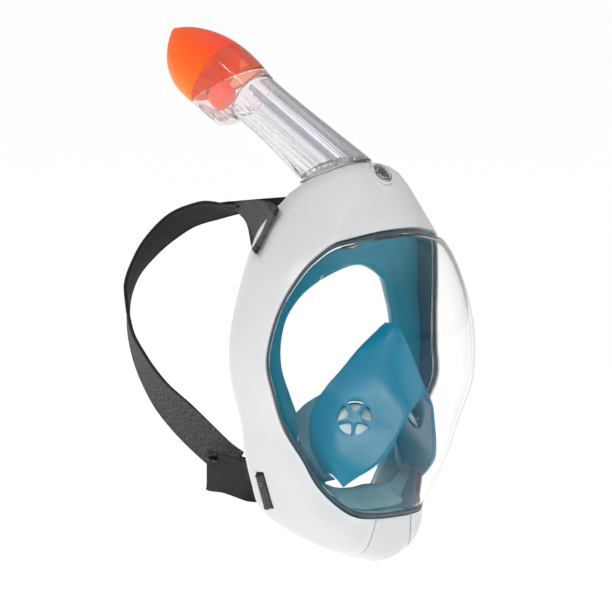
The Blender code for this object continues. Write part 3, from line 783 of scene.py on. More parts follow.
# the skirt's lit colour paints the chin much paler: painted glow of light coming through
skirtTeal = siliconeMaterial("skirtTeal", (0.0, 0.19, 0.285), (0.34, 0.58, 0.64),
                             (0, 0, -1), 0.066, 0.094, 0.30, 0.15)
cupTeal = siliconeMaterial("cupTeal", (0.0, 0.165, 0.275), (0.004, 0.185, 0.285),
                           (0, 0, -1), 0.035, 0.065, 0.16, 0.12)
sealTeal = siliconeMaterial("sealTeal", (0.002, 0.15, 0.24), (0.03, 0.24, 0.33), (0, 0, -1), 0.0, 0.1,
                            0.35, 0.1)
# a darker copy of the skirt teal for the flange wall: painted shade
flangeShadeTeal = siliconeMaterial("flangeShadeTeal", (0.010, 0.085, 0.135), (0.03, 0.22, 0.30), (0, 0, -1), 0.045,
                              0.085, 0.30, 0.08)
wingTeal = siliconeMaterial("wingTeal", (0.08, 0.21, 0.27), (0.06, 0.19, 0.26),
                            (0, 0, -1), 0.040, 0.075, 0.32, 0.15)
petalSilicone = siliconeMaterial("petalSilicone", (0.42, 0.50, 0.53), (0.52, 0.58, 0.60),
                                 (0, 0, -1), 0.0, 0.06, 0.4, 0.2)
# both orange parts carry a small emission and a paler amber underside: painted glow
capOrange = capMaterial("capOrange", (1.0, 0.30, 0.006), (1.0, 0.15, 0.005), (0.86, 0.060, 0.022), 0.06, 0.14)
floatOrange = capMaterial("floatOrange", (1.0, 0.14, 0.02), (1.0, 0.08, 0.02), (0.85, 0.05, 0.02), 0.0, 0.10)
strapOuter = knitMaterial("strapOuter", (0.040, 0.036, 0.037), (0.190, 0.175, 0.177), 0.0118,
                          (0.030, 0.028, 0.028), 0.13)
strapInner = knitMaterial("strapInner", (0.006, 0.005, 0.005), (0.022, 0.016, 0.016), 0.0118,
                          (0.010, 0.009, 0.009), 0.2)
gasketBeige = plainRubberMaterial("gasketBeige", (0.50, 0.44, 0.40), (0.62, 0.57, 0.53), 0.6, 900)
gasketDark = plainRubberMaterial("gasketDark", (0.035, 0.055, 0.07), (0.08, 0.11, 0.13), 0.4, 900)
stitchGrey = plainRubberMaterial("stitchGrey", (0.16, 0.15, 0.15), (0.24, 0.23, 0.23), 0.8, 1500)
patchRubber = plainRubberMaterial("patchRubber", (0.018, 0.018, 0.018), (0.04, 0.04, 0.04), 0.65, 1100)
wireSteel = plainRubberMaterial("wireSteel", (0.55, 0.55, 0.57), (0.65, 0.65, 0.67), 0.3, 2500, 1.0)
print("materials made")

# shell: half outline from the hood to the chin, rear rim, crest, brow and lens edge
shell = {
    "stations": [
        ((0, 22, 119), (0, -8, 134.5), (0, -43, 134.5), (0, -61, 97.5)),
        ((17, 17, 117.5), (16, -10, 132.5), (17, -42, 132.5), (20, -59, 96.5)),
        ((33, 10, 113.5), (30, -12, 125), (28, -41, 125), (38, -53, 93.5)),
        ((52, 7, 104), (46, -12, 110), (43, -40, 107), (52, -48, 90.5)),
        ((64, 7, 93), (60, -10, 96), (57, -34, 94), (62, -42, 83)),
        ((75.5, 7, 72), (74, -8, 75), (72, -28, 76), (70, -36, 73)),
        ((83.5, 7, 52), (83, -6, 54), (81.5, -19, 55), (80, -28, 54)),
        ((89.6, 7, 32), (89.5, -4, 33), (88, -14, 34), (85.3, -23, 34)),
        ((90.5, 7, 11), (91, -3, 12), (90.3, -12, 12), (88, -21, 13)),
        ((86, 7, -8), (87, -4, -8), (87, -14, -8), (85, -24, -8)),
        ((78.5, 7, -28), (79, -4, -28), (77.5, -14, -29), (73, -23, -30)),
        ((75, 7, -48), (75, -6, -49), (71, -20, -50), (62, -30, -50.5)),
        ((69, 7, -66), (68, -8, -67), (62, -26, -69), (54, -36, -68)),
        ((60, 7, -84), (59, -10, -86), (53, -34, -89), (42, -44, -82)),
        ((43, -1, -99), (42, -20, -103.5), (37, -45, -103.5), (33, -51.5, -88.5)),
        ((26, -10, -107.5), (27, -30, -113), (23, -49, -111.5), (18, -55.5, -90.3)),
        ((0, -14, -112), (0, -31, -119), (0, -50, -117), (0, -56.5, -90.5))],
    "steps": 6, "acrossSteps": 6, "chinStation": 15, "chinSeam": 1.1, "seamRows": 3, "wall": 3.0,
    "slotPlace": (66, -2.5, -71), "slotTilt": 22, "slotSize": (26, 6.5, 27),
    "ventSize": (2.4, 13, 16), "ventPlace": (-39, -118), "ventGap": 6.5}
axis = {"foot": (0, -7, 131), "lean": 31.5}  # the snorkel's own axis: z runs up the tube


def bandRows():
    loops = [mirroredLoop([row[k] for row in shell["stations"]], shell["steps"]) for k in range(4)]
    return [spline([loop[i] for loop in loops], shell["acrossSteps"]) for i in range(len(loops[0]))]


def slotTurn(side, size):
    return Matrix.Rotation(math.radians(side * shell["slotTilt"]), size, "Y")


axisTurn = Matrix.Rotation(math.radians(axis["lean"] - 90), 4, "X")
axisMatrix = Matrix.Translation(Vector(axis["foot"]) * mm) @ axisTurn
axisInMm = Matrix.Translation(Vector(axis["foot"])) @ axisTurn
rows = bandRows()
rowCount = len(rows)
seamRow = shell["chinStation"] * shell["steps"]
frameRows = [rows[i] for i in list(range(rowCount - seamRow, rowCount)) + list(range(seamRow + 1))]
hoodSheet = skin("hoodSheet", frameRows, closedRings=False)
hoodTree = BVHTree.FromPolygons([v.co / mm for v in hoodSheet.data.vertices],
                                [tuple(f.vertices) for f in hoodSheet.data.polygons])


def draped(points, lift):
    heading = axisInMm.to_3x3() @ Vector((0, 0, -1))
    made = []
    for x, y in points:
        hit = hoodTree.ray_cast(axisInMm @ Vector((x, y, 80)), heading)[0]
        made.append(Vector((x, y, (axisInMm.inverted() @ hit).z + lift)))
    return made


button = {"y": -45.5, "radius": 7.0, "hole": 9.0, "gap": 0.35, "depth": 2.2, "height": -0.1,
          "dish": [(1.1, -0.7), (1.6, 0.6), (1.2, 0)],  # inset and rise of each step
          "bars": [(0, 2.2, 4.6, 1.3), (0, -0.4, 4.6, 1.3), (0, -3.0, 3.0, 1.0)],
          "barSize": 0.7, "barHeight": 1.05, "bezel": (-2.2, 0.5)}
buttonHit, buttonFacing = hoodTree.ray_cast(Vector((0, button["y"], 170)), Vector((0, 0, -1)))[:2]
buttonFacing = Vector((0, buttonFacing.y, buttonFacing.z)).normalized()
buttonMatrix = pointing(buttonHit, buttonFacing)
tube = {"spigot": (17.0, 13.5, 2.0), "base": (20.5, 18.2, -1.2), "middle": (18.5, 17.0, -1.4),
        "top": (17.2, 16.2, -1.6), "wall": 2.0, "spigotEnd": -33.0, "end": 84.0, "rise": 2.9,
        "duct": (7, 6, 1, 48), "ductWall": 1.2, "webTall": 96, "webMiddle": 35,
        "socketGap": 1.3, "socketWall": 3.1, "gasketGap": 1.4, "gasketWall": 5.0}


def buildShell():
    piece = hoodSheet
    piece.name = "shell"
    wall(piece, shell["wall"])
    spigot = tube["spigot"]
    cutters = [ovalCutter(oval(spigot[0] + 3.45, spigot[1] + 3.45, spigot[2]), -35, 40, axisMatrix),
               ovalCutter(oval(button["hole"], button["hole"], 0, 56, 2), -8, 8, buttonMatrix)]
    x, y, z = shell["slotPlace"]
    for side in (-1, 1):
        turn = Matrix.Translation(Vector((side * x, y, z)) * mm) @ slotTurn(side, 4)
        cutters.append(boxCutter(shell["slotSize"], (0, 0, 0), turn))
    carve(piece, cutters)
    softEdges(piece, 0.7, 3, 42)
    settle(piece, "mask", whiteShell, ["outer_frame"])


def buildChinCover():
    chinRows = [[p.copy() for p in rows[i]] for i in range(seamRow, rowCount - seamRow + 1)]
    for k in range(shell["seamRows"]):  # the cover ends just short of the frame
        gap = shell["chinSeam"] * (1 - k / shell["seamRows"])
        for p, q in zip(chinRows[k], chinRows[-1 - k]):
            p.x -= gap
            q.x += gap
    piece = skin("chinCover", chinRows, closedRings=False)
    wall(piece, shell["wall"])
    carve(piece, [boxCutter(shell["ventSize"], (k * shell["ventGap"], *shell["ventPlace"]))
                  for k in (-1, 0, 1)])
    softEdges(piece, 0.6, 3, 42)
    settle(piece, "mask", whiteShell, ["chin_cover"])


buildShell()
buildChinCover()
print("shell made")

# visor
visor = {"profile": [(97.5, -61), (85, -70), (70, -78), (50, -85), (30, -89), (10, -89),
                     (-10, -87), (-30, -83), (-50, -78), (-70, -68), (-90.5, -56.5)],
         "squareness": 2.4, "wall": 2.2, "edgeInset": 3.75, "edgeForward": 1.0, "centreZ": 6,
         "turns": (90, 86, 82, 78, 73, 68, 62, 55, 48, 41, 34, 27, 20, 13, 7),
         "gasketInset": 2.9, "gasketForward": 0.5, "gasketRadius": 1.15}
lensEdge = [row[-1] for row in rows]
visorEdge = insetLoop(lensEdge, visor["edgeInset"], visor["edgeForward"])
halfEdge = sorted(((p.z, abs(p.x), p.y) for p in visorEdge if p.x >= -0.01), key=lambda q: q[0])
edgeHeights, edgeWidths, edgeRims = ([q[k] for q in halfEdge] for k in range(3))
middleLine = sorted(spline([(z, y, 0) for z, y in visor["profile"]], 24), key=lambda p: p.x)
lineLevels, lineFronts = [p.x for p in middleLine], [p.y for p in middleLine]


def visorDepth(x, z):
    width = interpolate(z, edgeHeights, edgeWidths)
    rim = interpolate(z, edgeHeights, edgeRims)
    front = interpolate(z, lineLevels, lineFronts)
    share = min(abs(x) / max(width, 0.01), 1.0)
    swell = (1 - share ** visor["squareness"]) ** (1 / visor["squareness"])
    return rim + (min(front, rim) - rim) * swell


def buildVisor():
    centreZ = visor["centreZ"]
    shares = [math.sin(math.radians(a)) for a in visor["turns"]]
    points, columns = [], len(visorEdge)
    for share in shares:
        for p in visorEdge:
            x, z = p.x * share, centreZ + (p.z - centreZ) * share
            points.append((x, p.y if share == 1 else visorDepth(x, z), z))
    faces = []
    for r in range(len(shares) - 1):
        outer, inner = r * columns, (r + 1) * columns
        for c in range(columns):
            nxt = (c + 1) % columns
            faces.append((outer + c, inner + c, inner + nxt, outer + nxt))
    points.append((0, visorDepth(0, centreZ), centreZ))
    start = (len(shares) - 1) * columns
    faces += [(start + (c + 1) % columns, start + c, len(points) - 1) for c in range(columns)]
    piece = meshPiece("visor", points, faces)
    wall(piece, visor["wall"])
    settle(piece, "mask", visorClear, ["visor_lens"], 50)


def buildLensGasket():
    loop = insetLoop(lensEdge, visor["gasketInset"], visor["gasketForward"])
    low = min(p.z for p in loop)
    radii = []
    for p in loop:  # thicker under the chin and a little at the brow
        chin, brow = max(0.0, 1 - (p.z - low) / 9), max(0.0, (p.z - 86) / 12)
        radii.append(visor["gasketRadius"] + 0.75 * chin + 0.35 * brow)
    piece = beadAlong("lensGasket", loop, radii)
    settle(piece, "mask", gasketDark)


buildVisor()
buildLensGasket()
print("visor made")

# skirt and nose cup
skirt = {"lip": [(0, -23, 71), (34, -17, 60.5), (50, -11, 45), (57, -9, 27), (56, -8, 8),
                 (47, -8, -12), (42, -9.5, -25), (46, -13, -36), (49, -19, -50), (43, -25, -62),
                 (30, -29, -70), (14, -31, -71.5), (0, -31, -70.5)],
         "wall": 2.2, "frontInset": 4.2, "frontForward": 5.0, "flangeInset": 5.0, "flangeDepth": 15.0,
         "rearInset": 11.0, "rearLimit": 7, "flangeColumns": 6}
cup = {"back": [(0, -47, 33), (14, -39.3, 19), (25, -34, 6), (35, -27.5, -7), (40, -21, -22),
                (42, -22, -42), (39, -31, -60)],
       "front": [(0, -81, -9), (9, -78, -18), (16, -74, -31), (21, -71, -42), (29, -64, -54),
                 (36, -54, -62), (39, -46, -68)],
       "bulge": [(0, -60, 27), (12, -56, 7), (20, -51, -6), (27, -45, -17), (35, -39, -32),
                 (41, -36, -47), (40, -38, -60)],
       "wall": 1.8, "rim": 1.25, "valve": (30, -47, -24), "valveNormal": (0.7, -0.5, 0.5),
       "seat": [(10.9, -4.2), (12.1, -4.2), (12.1, -2.6), (10.9, -2.6)],
       "flap": [(0.02, -2.6), (6, -2.65), (10.6, -2.7), (11.3, -3.0), (11.0, -3.3), (6, -3.4), (0.02, -3.5)],
       "petals": 5, "petalTurn": 0.2, "petalMiddle": 7.4, "petalHalf": 3.5, "petalSpoke": 1.5,
       "wingWall": 1.5, "wingSag": 2.2, "wingFold": 0.9,
       "wingLip": [(42.5, -9.3, -22), (44, -11, -31), (47, -15, -41), (49, -19, -50), (46, -22.5, -57),
                   (42, -25.5, -63), (36, -28, -67)],
       "wingCup": [(36, -26.5, -9), (40, -21, -22), (41.5, -21.5, -34), (42, -23, -46), (41, -27, -54),
                   (39.5, -33, -60), (38.5, -38, -64)]}


def matchAngles(outer, inner):
    centreZ, made = 3, []
    angles = [math.atan2(p.x, p.z - centreZ) for p in inner]
    for q in outer:
        wanted = math.atan2(q.x * 0.8, q.z - centreZ)
        best = min(range(len(inner)), key=lambda k: abs(math.remainder(angles[k] - wanted, math.tau)))
        a, b, third = inner[best - 1], inner[(best + 1) % len(inner)], inner[best]
        low, high = angles[best - 1], angles[(best + 1) % len(inner)]
        share = math.remainder(wanted - low, math.tau) / math.remainder(high - low, math.tau)
        made.append(a.lerp(third, share * 2) if share < 0.5 else third.lerp(b, share * 2 - 1))
    return made


def buildSkirt():
    front = insetLoop(lensEdge, skirt["frontInset"], skirt["frontForward"])
    lip = matchAngles(front, mirroredLoop(skirt["lip"], 16))
    rear = insetLoop([row[0] for row in rows], skirt["rearInset"])
    flange = insetLoop(lensEdge, skirt["flangeInset"], skirt["flangeDepth"])
    rings = []
    for f, g, l, r in zip(front, flange, lip, rear):
        seal = l.lerp(r, 0.42) + Vector((0, 4.5, 0))
        g.y = min(g.y, l.y - 1.5)
        middle = g.lerp(l, 0.55) + Vector((0, 0.8, 0))
        inner = l.lerp(seal, 0.5) + Vector((0, 2.5, 0))
        edge = Vector((r.x, min(r.y, skirt["rearLimit"]) - 2.0, r.z))
        corner = g.lerp(l, 0.07)
        flangePart = spline([f, f.lerp(g, 0.5), g], 3)[:-1]
        rings.append(flangePart + spline([g, corner, middle, l, inner, seal, edge], 5))
    piece = skin("skirt", rings, closedRings=False, joinedEnds=True, flip=True)
    wall(piece, skirt["wall"], 1.0)
    perRing = len(rings[0])
    for face in piece.data.polygons:  # the flange wall gets a darker copy of the teal: painted shade
        columns = sorted(v % perRing for v in face.vertices if v < perRing * len(rings) * 2)
        face.material_index = int(bool(columns) and columns[-1] <= skirt["flangeColumns"] and len(columns) == 4)
    settle(piece, "mask", [skirtTeal, flangeShadeTeal], ["face_skirt"], 50)


def wholeEdge(half, steps):
    points = spline(half, steps)
    return [Vector((-p.x, p.y, p.z)) for p in points[:0:-1]] + points


def buildNoseCup():
    edges = zip(*(wholeEdge(cup[k], 8) for k in ("back", "bulge", "front")))
    piece = skin("noseCup", [spline(edge, 10) for edge in edges], closedRings=False, flip=True)
    wall(piece, cup["wall"])
    carve(piece, petalCutters())
    softEdges(piece, 0.5, 2, 50)
    settle(piece, "mask", cupTeal, ["nose_cup"], 50)
    rim = spline(wholeEdge(cup["back"], 3), 3)
    bead = beadAlong("cupRim", rim, [cup["rim"]] * len(rim), closed=False)
    settle(bead, "mask", cupTeal)


def buildWings():
    for side, name in ((-1, "Right"), (1, "Left")):
        rings = []
        lip, edge = (spline([(side * x, y, z) for x, y, z in cup[k]], 6) for k in ("wingLip", "wingCup"))
        for k, (a, b) in enumerate(zip(lip, edge)):
            sag = cup["wingSag"] + cup["wingFold"] * math.sin(k * 0.55)  # soft folds along the pocket
            near, far = a.lerp(b, 0.35) + Vector((0, sag, 0)), a.lerp(b, 0.7) + Vector((0, sag * 0.7, 0))
            rings.append(spline([a, near, far, b], 6))
        piece = skin("skirtWing" + name, rings, closedRings=False, flip=side > 0)
        wall(piece, cup["wingWall"], 0)
        softEdges(piece, 0.4, 2, 50)
        settle(piece, "mask", wingTeal, angle=60)


def valvePlaces():
    (x, y, z), (a, b, c) = cup["valve"], cup["valveNormal"]
    return [(name, pointing((side * x, y, z), (side * a, b, c))) for side, name in ((-1, "Right"), (1, "Left"))]


def petalCutters():
    cutters, petals = [], cup["petals"]
    for name, place in valvePlaces():
        for n in range(petals):
            turn = math.tau * (n + cup["petalTurn"]) / petals
            outline = []
            for k in range(32):
                a = math.tau * k / 32
                along = cup["petalMiddle"] + cup["petalHalf"] * rounded(math.cos(a), 0.7)
                half = along * math.tan(math.pi / petals) - cup["petalSpoke"]
                aside = half * rounded(math.sin(a), 0.7)
                outline.append((along * math.cos(turn) - aside * math.sin(turn),
                                along * math.sin(turn) + aside * math.cos(turn)))
            cutters.append(ovalCutter(outline, -7, 7, place))
    return cutters


def buildInhaleValves():
    for name, place in valvePlaces():
        seat = skin("valveSeat" + name, turned(cup["seat"], 60), joinedEnds=True, flip=True, matrix=place)
        softEdges(seat, 0.3, 2, 40)
        settle(seat, "mask", cupTeal, ["inhale_valve_seat_" + name.lower()])
        rings = list(zip(*turned(cup["flap"][::-1], 60)))
        flap = skin("valveFlap" + name, rings, capped=True, matrix=place)
        settle(flap, "inhale_flap_" + name.lower(), petalSilicone,
               ["inhale_valve_disc_" + name.lower()])


buildSkirt()
buildNoseCup()
buildWings()
buildInhaleValves()
print("skirt and nose cup made")

# snorkel tube, duct, socket and gasket
head = {"sections": [(84.4, -18.6, 16.6, 17.6), (92, -20.4, 26.6, 18.5), (99, -21.2, 28.2, 19.5),
                     (110, -21.7, 28.0, 20), (124, -20.5, 28.4, 19.3), (137, -17.3, 27.4, 17),
                     (148.8, -12.4, 22.2, 13), (156, -8, 14.6, 8.8), (160.5, -4.6, 7.0, 5),
                     (163, -2.5, 2.5, 2)],  # height, back, front and half width
        "squareness": 2.3, "wall": 1.8, "foot": 84.4, "tip": 163, "split": (102.0, 0.63), "gap": 0.35,
        "thinBelow": 116.5, "thinSlope": 0.04, "ribs": 11, "slotSize": (1.7, 16, 12), "slotGap": 2.9,
        "slotPlace": (28, 103), "finWide": 0.75, "finDeep": 3.0, "finTall": 17, "finGap": 2.75,
        "finPlace": (27.4, 104.5)}
sectionLine = spline([(z, low, high) for z, low, high, half in head["sections"]], 10)
halfLine = spline([(z, half, 0) for z, low, high, half in head["sections"]], 10)
headLevels = [p.x for p in sectionLine]
headLows, headHighs = [p.y for p in sectionLine], [p.z for p in sectionLine]
headHalves = [p.y for p in halfLine]


def headPoint(k, steps, z):
    low, high = interpolate(z, headLevels, headLows), interpolate(z, headLevels, headHighs)
    half = interpolate(z, headLevels, headHalves)
    a = math.tau * k / steps
    c, s = math.cos(a), math.sin(a)
    power = 2 / head["squareness"]
    return Vector((half * rounded(c, power), (high + low) / 2 + (high - low) / 2 * rounded(s, power), z))


def splitHeight(k, steps, shift):
    z = head["split"][0]
    for _ in range(12):
        z = head["split"][0] + shift + head["split"][1] * headPoint(k, steps, z).y
    return z


def buildTube():
    spigot, base = oval(*tube["spigot"]), oval(*tube["base"])
    middle, top = oval(*tube["middle"]), oval(*tube["top"])
    rise = tube["rise"]
    low = [level(spigot, tube["spigotEnd"]), level(spigot, -28), level(spigot, -22), draped(spigot, rise)]
    foot = [draped(base, rise), draped(base, rise + 1.2), draped(base, rise + 7)]
    upper = [level(middle, 36, 0.3), level(top, 62), level(top, tube["end"])]
    smooth = [spline([a, b, c, d], 6) for a, b, c, d in zip(foot[2], *upper)]
    rings = low + foot[:2] + [[column[k] for column in smooth] for k in range(len(smooth[0]))]
    piece = skin("snorkelTube", rings, matrix=axisMatrix)
    wall(piece, tube["wall"])
    softEdges(piece, 0.5, 2, 42)
    settle(piece, "snorkel", tubeClear, ["snorkel_tube"])


def buildDuct():
    inner = oval(*tube["duct"])
    rings = [level(inner, z) for z in (tube["spigotEnd"] + 1, -20, 0, 30, 60, tube["end"] - 1)]
    piece = skin("centreDuct", rings, matrix=axisMatrix)
    wall(piece, tube["ductWall"])
    settle(piece, "snorkel", ductClear, ["centre_duct"])
    ribs = [(9.4, -10.6, 1.2, 3.4, webGrey), (14.2, -3.5, 1.0, 0.9, tubeClear),
            (14.6, 3.0, 1.0, 0.9, tubeClear), (11.5, 9.4, 1.0, 1.1, tubeClear),
            (4.2, -14.0, 1.0, 1.0, tubeClear)]
    for number, (x, y, wide, deep, material) in enumerate(ribs):  # ribs between the breathing channels
        for side, name in ((-1, "Right"), (1, "Left")):
            web = boxCutter((wide, deep, tube["webTall"]), (side * x, y, tube["webMiddle"]))
            web.name = "channelRib%d%s" % (number, name)
            web.data.transform(axisMatrix)
            softEdges(web, 0.25, 2, 40)
            settle(web, "snorkel", material)


def buildSocket():
    halfWide, halfDeep, offset = tube["spigot"]
    inner = oval(halfWide + tube["socketGap"], halfDeep + tube["socketGap"], offset)
    outer = oval(halfWide + tube["socketWall"], halfDeep + tube["socketWall"], offset)
    rings = [level(inner, -36), draped(inner, -1.4), draped(outer, -1.4), level(outer, -36)]
    piece = skin("tubeSocket", rings, joinedEnds=True, flip=True, matrix=axisMatrix)
    softEdges(piece, 0.4, 2, 40)
    settle(piece, "mask", whiteInner, ["tube_socket"])
    inner = oval(halfWide + tube["gasketGap"], halfDeep + tube["gasketGap"], offset)
    outer = oval(halfWide + tube["gasketWall"], halfDeep + tube["gasketWall"], offset * 0.6)
    rings = [draped(inner, 0.9), draped(outer, 0.9), draped(outer, 2.2), draped(inner, 2.2)]
    piece = skin("socketGasket", rings, joinedEnds=True, matrix=axisMatrix)
    softEdges(piece, 0.45, 3, 40)
    settle(piece, "mask", gasketBeige, ["socket_gasket"])


def headRing(heights):
    return [headPoint(k, len(heights), height) for k, height in enumerate(heights)]


def buildCageFins():
    y, z = head["finPlace"]
    for number in range(head["ribs"]):  # fins that keep weed out of the air way
        step = number - head["ribs"] // 2
        x = step * head["finGap"]
        size = (head["finWide"], head["finDeep"], head["finTall"] - abs(step) * 1.1)
        fin = boxCutter(size, (x, y - x * x * 0.042, z - abs(step) * 0.5), axisMatrix)
        fin.name = "cageFin%d" % number
        softEdges(fin, 0.2, 2, 40)
        settle(fin, "snorkel", cageClear)


def buildHead():
    foot, tip, gap, steps = head["foot"], head["tip"], head["gap"] / 2, 96
    splits = [splitHeight(k, steps, 0) for k in range(steps)]
    rings = [headRing([foot + (split - gap - foot) * (i / 14) for split in splits]) for i in range(15)]
    cage = skin("floatCage", rings, matrix=axisMatrix)
    wall(cage, head["wall"])
    y, z = head["slotPlace"]
    carve(cage, [boxCutter(head["slotSize"], ((k - head["ribs"] // 2) * head["slotGap"], y, z), axisMatrix)
                 for k in range(head["ribs"])])
    settle(cage, "snorkel", cageClear, ["float_cage"])
    buildCageFins()
    rings = [headRing([split + gap + (tip - split - gap) * math.sin(math.radians(i * 3.6)) for split in splits])
             for i in range(26)]
    cap = skin("topCap", rings, matrix=axisMatrix)
    selectOnly(cap)
    bpy.ops.object.mode_set(mode="EDIT")
    bpy.ops.mesh.select_all(action="SELECT")
    border = axisMatrix @ Vector((0, 0, head["thinBelow"] * mm))
    across = axisMatrix.to_3x3() @ Vector((0, -head["thinSlope"], 1))
    bpy.ops.mesh.bisect(plane_co=border, plane_no=across)
    bpy.ops.mesh.select_all(action="DESELECT")
    form = bmesh.from_edit_mesh(cap.data)
    point = axisMatrix @ Vector((0, 0, tip * mm))
    for edge in form.edges:  # closes the small hole at the point
        if edge.is_boundary and all((v.co - point).length < 6 * mm for v in edge.verts):
            edge.select_set(True)
    bmesh.update_edit_mesh(cap.data)
    bpy.ops.mesh.edge_face_add()
    bpy.ops.object.mode_set(mode="OBJECT")
    wall(cap, head["wall"])
    softEdges(cap, 0.35, 2, 50)
    toAxis = axisMatrix.inverted()
    for face in cap.data.polygons:  # the skirt of the cap is thin enough to see the ribs through
        spot = toAxis @ face.center
        face.material_index = int(spot.z < (head["thinBelow"] + head["thinSlope"] * spot.y / mm) * mm)
    settle(cap, "snorkel", [capOrange, capThin], ["top_cap"], 50)


buildTube()
buildDuct()
buildSocket()
buildHead()
print("snorkel made")


# release button: dished clear cap with three raised grip bars
def buildButton():
    radius = button["radius"]
    bpy.ops.object.select_all(action="DESELECT")
    bpy.ops.mesh.primitive_cylinder_add(vertices=64, radius=radius * mm, depth=button["depth"] * mm,
                                        location=(0, 0, button["height"] * mm))
    piece = bpy.context.object
    piece.name = "releaseButton"
    piece.data.transform(Matrix.Translation(piece.location))
    piece.location = (0, 0, 0)
    editTopFaces(piece)
    for width, height in button["dish"]:
        bpy.ops.mesh.inset(thickness=width * mm)
        if height:
            bpy.ops.mesh.extrude_region_move(TRANSFORM_OT_translate={"value": (0, 0, height * mm)})
    bpy.ops.object.mode_set(mode="OBJECT")
    softEdges(piece, 0.28, 3, 40)
    piece.data.transform(buttonMatrix)
    settle(piece, "button", tubeClear, ["release_button"])
    for number, (x, y, wide, deep) in enumerate(button["bars"]):  # plain grip bars
        bar = boxCutter((wide, deep, button["barSize"]), (x, y, button["barHeight"]), buttonMatrix)
        bar.name = "gripBar%d" % number
        softEdges(bar, 0.22, 2, 40)
        settle(bar, "button", gasketDark)
    inner, outer = radius + button["gap"], button["hole"] - button["gap"]
    low, high = button["bezel"]
    profile = [(inner, low), (outer, low), (outer, high), (inner, high)]
    bezel = skin("buttonBezel", turned(profile, 64), joinedEnds=True, flip=True, matrix=buttonMatrix)
    softEdges(bezel, 0.3, 3, 40)
    settle(bezel, "mask", whiteInner, ["button_bezel"])


buildButton()
print("button made")

# straps
strap = {"band": [(79, 102.6, -10), (88, 102, -20), (102, 99.6, -27), (125, 92, -22), (146, 77.5, -8),
                  (160, 63, 8), (169, 49.7, 22), (172, 36, 36), (171.5, 23, 43), (168.5, 10.5, 49),
                  (162, -2, 58), (153, -14.5, 66), (141, -27, 76), (124.5, -39, 88), (107, -51, 98),
                  (91, -61, 103), (78, -66.5, 104)],
         "nape": [(-61.6, -3, -71), (-58.2, 4, -70.5), (-57, 16, -69), (-39, 52, -67.5), (-24, 78, -68),
                  (-17, 88, -69), (-9, 90, -71), (1, 85, -73), (14, 71, -78), (29, 52, -90), (44, 31, -100),
                  (51, 20, -99), (56, 10, -91), (59.5, 2.5, -78), (61.6, -3, -71)],
         "wedgeTop": [(8, 93, 105.6), (-22, 37.5, 111.0), (-43.5, 8.4, 111.7), (-54.6, -3.8, 110.4)],
         "wedgeLow": [(-9, 66, 99.6), (-42, 32.5, 95.7), (-66.5, 8.0, 84.6), (-75.6, -2.7, 82.4)],
         "width": 25.0, "narrowing": 5.0, "napeWidth": 26.0, "napeLean": 0.46, "thickness": 2.4,
         "hem": 0.86, "hemRows": (("A", 0), ("B", 3)), "stitches": 22, "stitchSpan": 0.92,
         "foldOut": 1.6, "foldSize": (1.9, 1.55), "foldHalfAngle": 115, "foldSteps": 16,
         "loopCentre": (-24, 70, -59.3), "loopHalf": 9.2, "loopRise": 2.0, "loopTilt": 0.6,
         "loopSteps": 28, "loopWidth": 15.0,
         "patchSize": (27, 14, 1.4), "patchPlace": (0, 74, 104.8), "patchRim": 1.6, "patchDish": -0.4}
halfSection = [(-1, 0), (-0.985, 0.62), (-0.95, 0.98), (-0.90, 1.0), (-0.86, 0.80), (-0.6, 0.82),
               (-0.2, 0.86), (0.2, 0.86), (0.6, 0.82), (0.86, 0.80), (0.90, 1.0), (0.95, 0.98),
               (0.985, 0.62)]
sectionShape = halfSection + [(-a, -b) for a, b in halfSection]  # a flat strap with corded edges


def webbing(name, centres, sides, normals, widths, outerUp, nodes):
    rings, lengths, total = [], [], 0.0
    for i, (c, s, n, w) in enumerate(zip(centres, sides, normals, widths)):
        if i:
            total += (c - centres[i - 1]).length
        lengths.append(total)
        rings.append([c + s * (w / 2 * a) + n * (strap["thickness"] / 2 * b) for a, b in sectionShape])
    piece = skin(name, rings, capped=True)
    columns = len(sectionShape)
    layer = piece.data.uv_layers.new(name="strapWeave")
    for face in piece.data.polygons:
        middle = 0
        for corner in face.loop_indices:
            index = piece.data.loops[corner].vertex_index
            row, column = index // columns, index % columns
            across, up = sectionShape[column]
            layer.data[corner].uv = (across * widths[row] / 2 * mm, lengths[row] * mm)
            middle += up
        face.material_index = int((middle > 0) != outerUp)
    settle(piece, "mask", [strapOuter, strapInner], nodes, 60)
    return total


def buildBand():
    steps = 10
    route = spline([(0, y, z) for y, z, _ in strap["band"]], steps)
    rolls = [p.x for p in spline([(roll, 0, 0) for _, _, roll in strap["band"]], steps)]
    sides, normals, widths = [], [], []
    for k in range(len(route)):
        run = runAt(route, k)
        outward = Vector((0, -run.z, run.y))
        roll = math.radians(rolls[k])
        across = Vector((math.cos(roll), 0, 0)) + outward * math.sin(roll)
        sides.append(across)
        normals.append(run.cross(across).normalized())
        widths.append(strap["width"] - strap["narrowing"] * max(0.0, (k / steps - 13) / 3))
    return webbing("backBand", route, sides, normals, widths, False, ["back_band"])


def buildNape():
    route = spline(strap["nape"], 8)
    sides, normals = [], []
    for k in range(len(route)):
        run = runAt(route, k)
        across = Vector((0, 0, 1))
        lean = strap["napeLean"] * max(0.0, min(1.0, (24 - route[k].y) / 12))
        across.x = math.copysign(lean, route[k].x)
        across = (across - run * across.dot(run)).normalized()
        sides.append(across)
        normals.append(run.cross(across).normalized())
    widths = [strap["napeWidth"]] * len(route)
    return webbing("napeStrap", route, sides, normals, widths, True, ["nape_strap"])


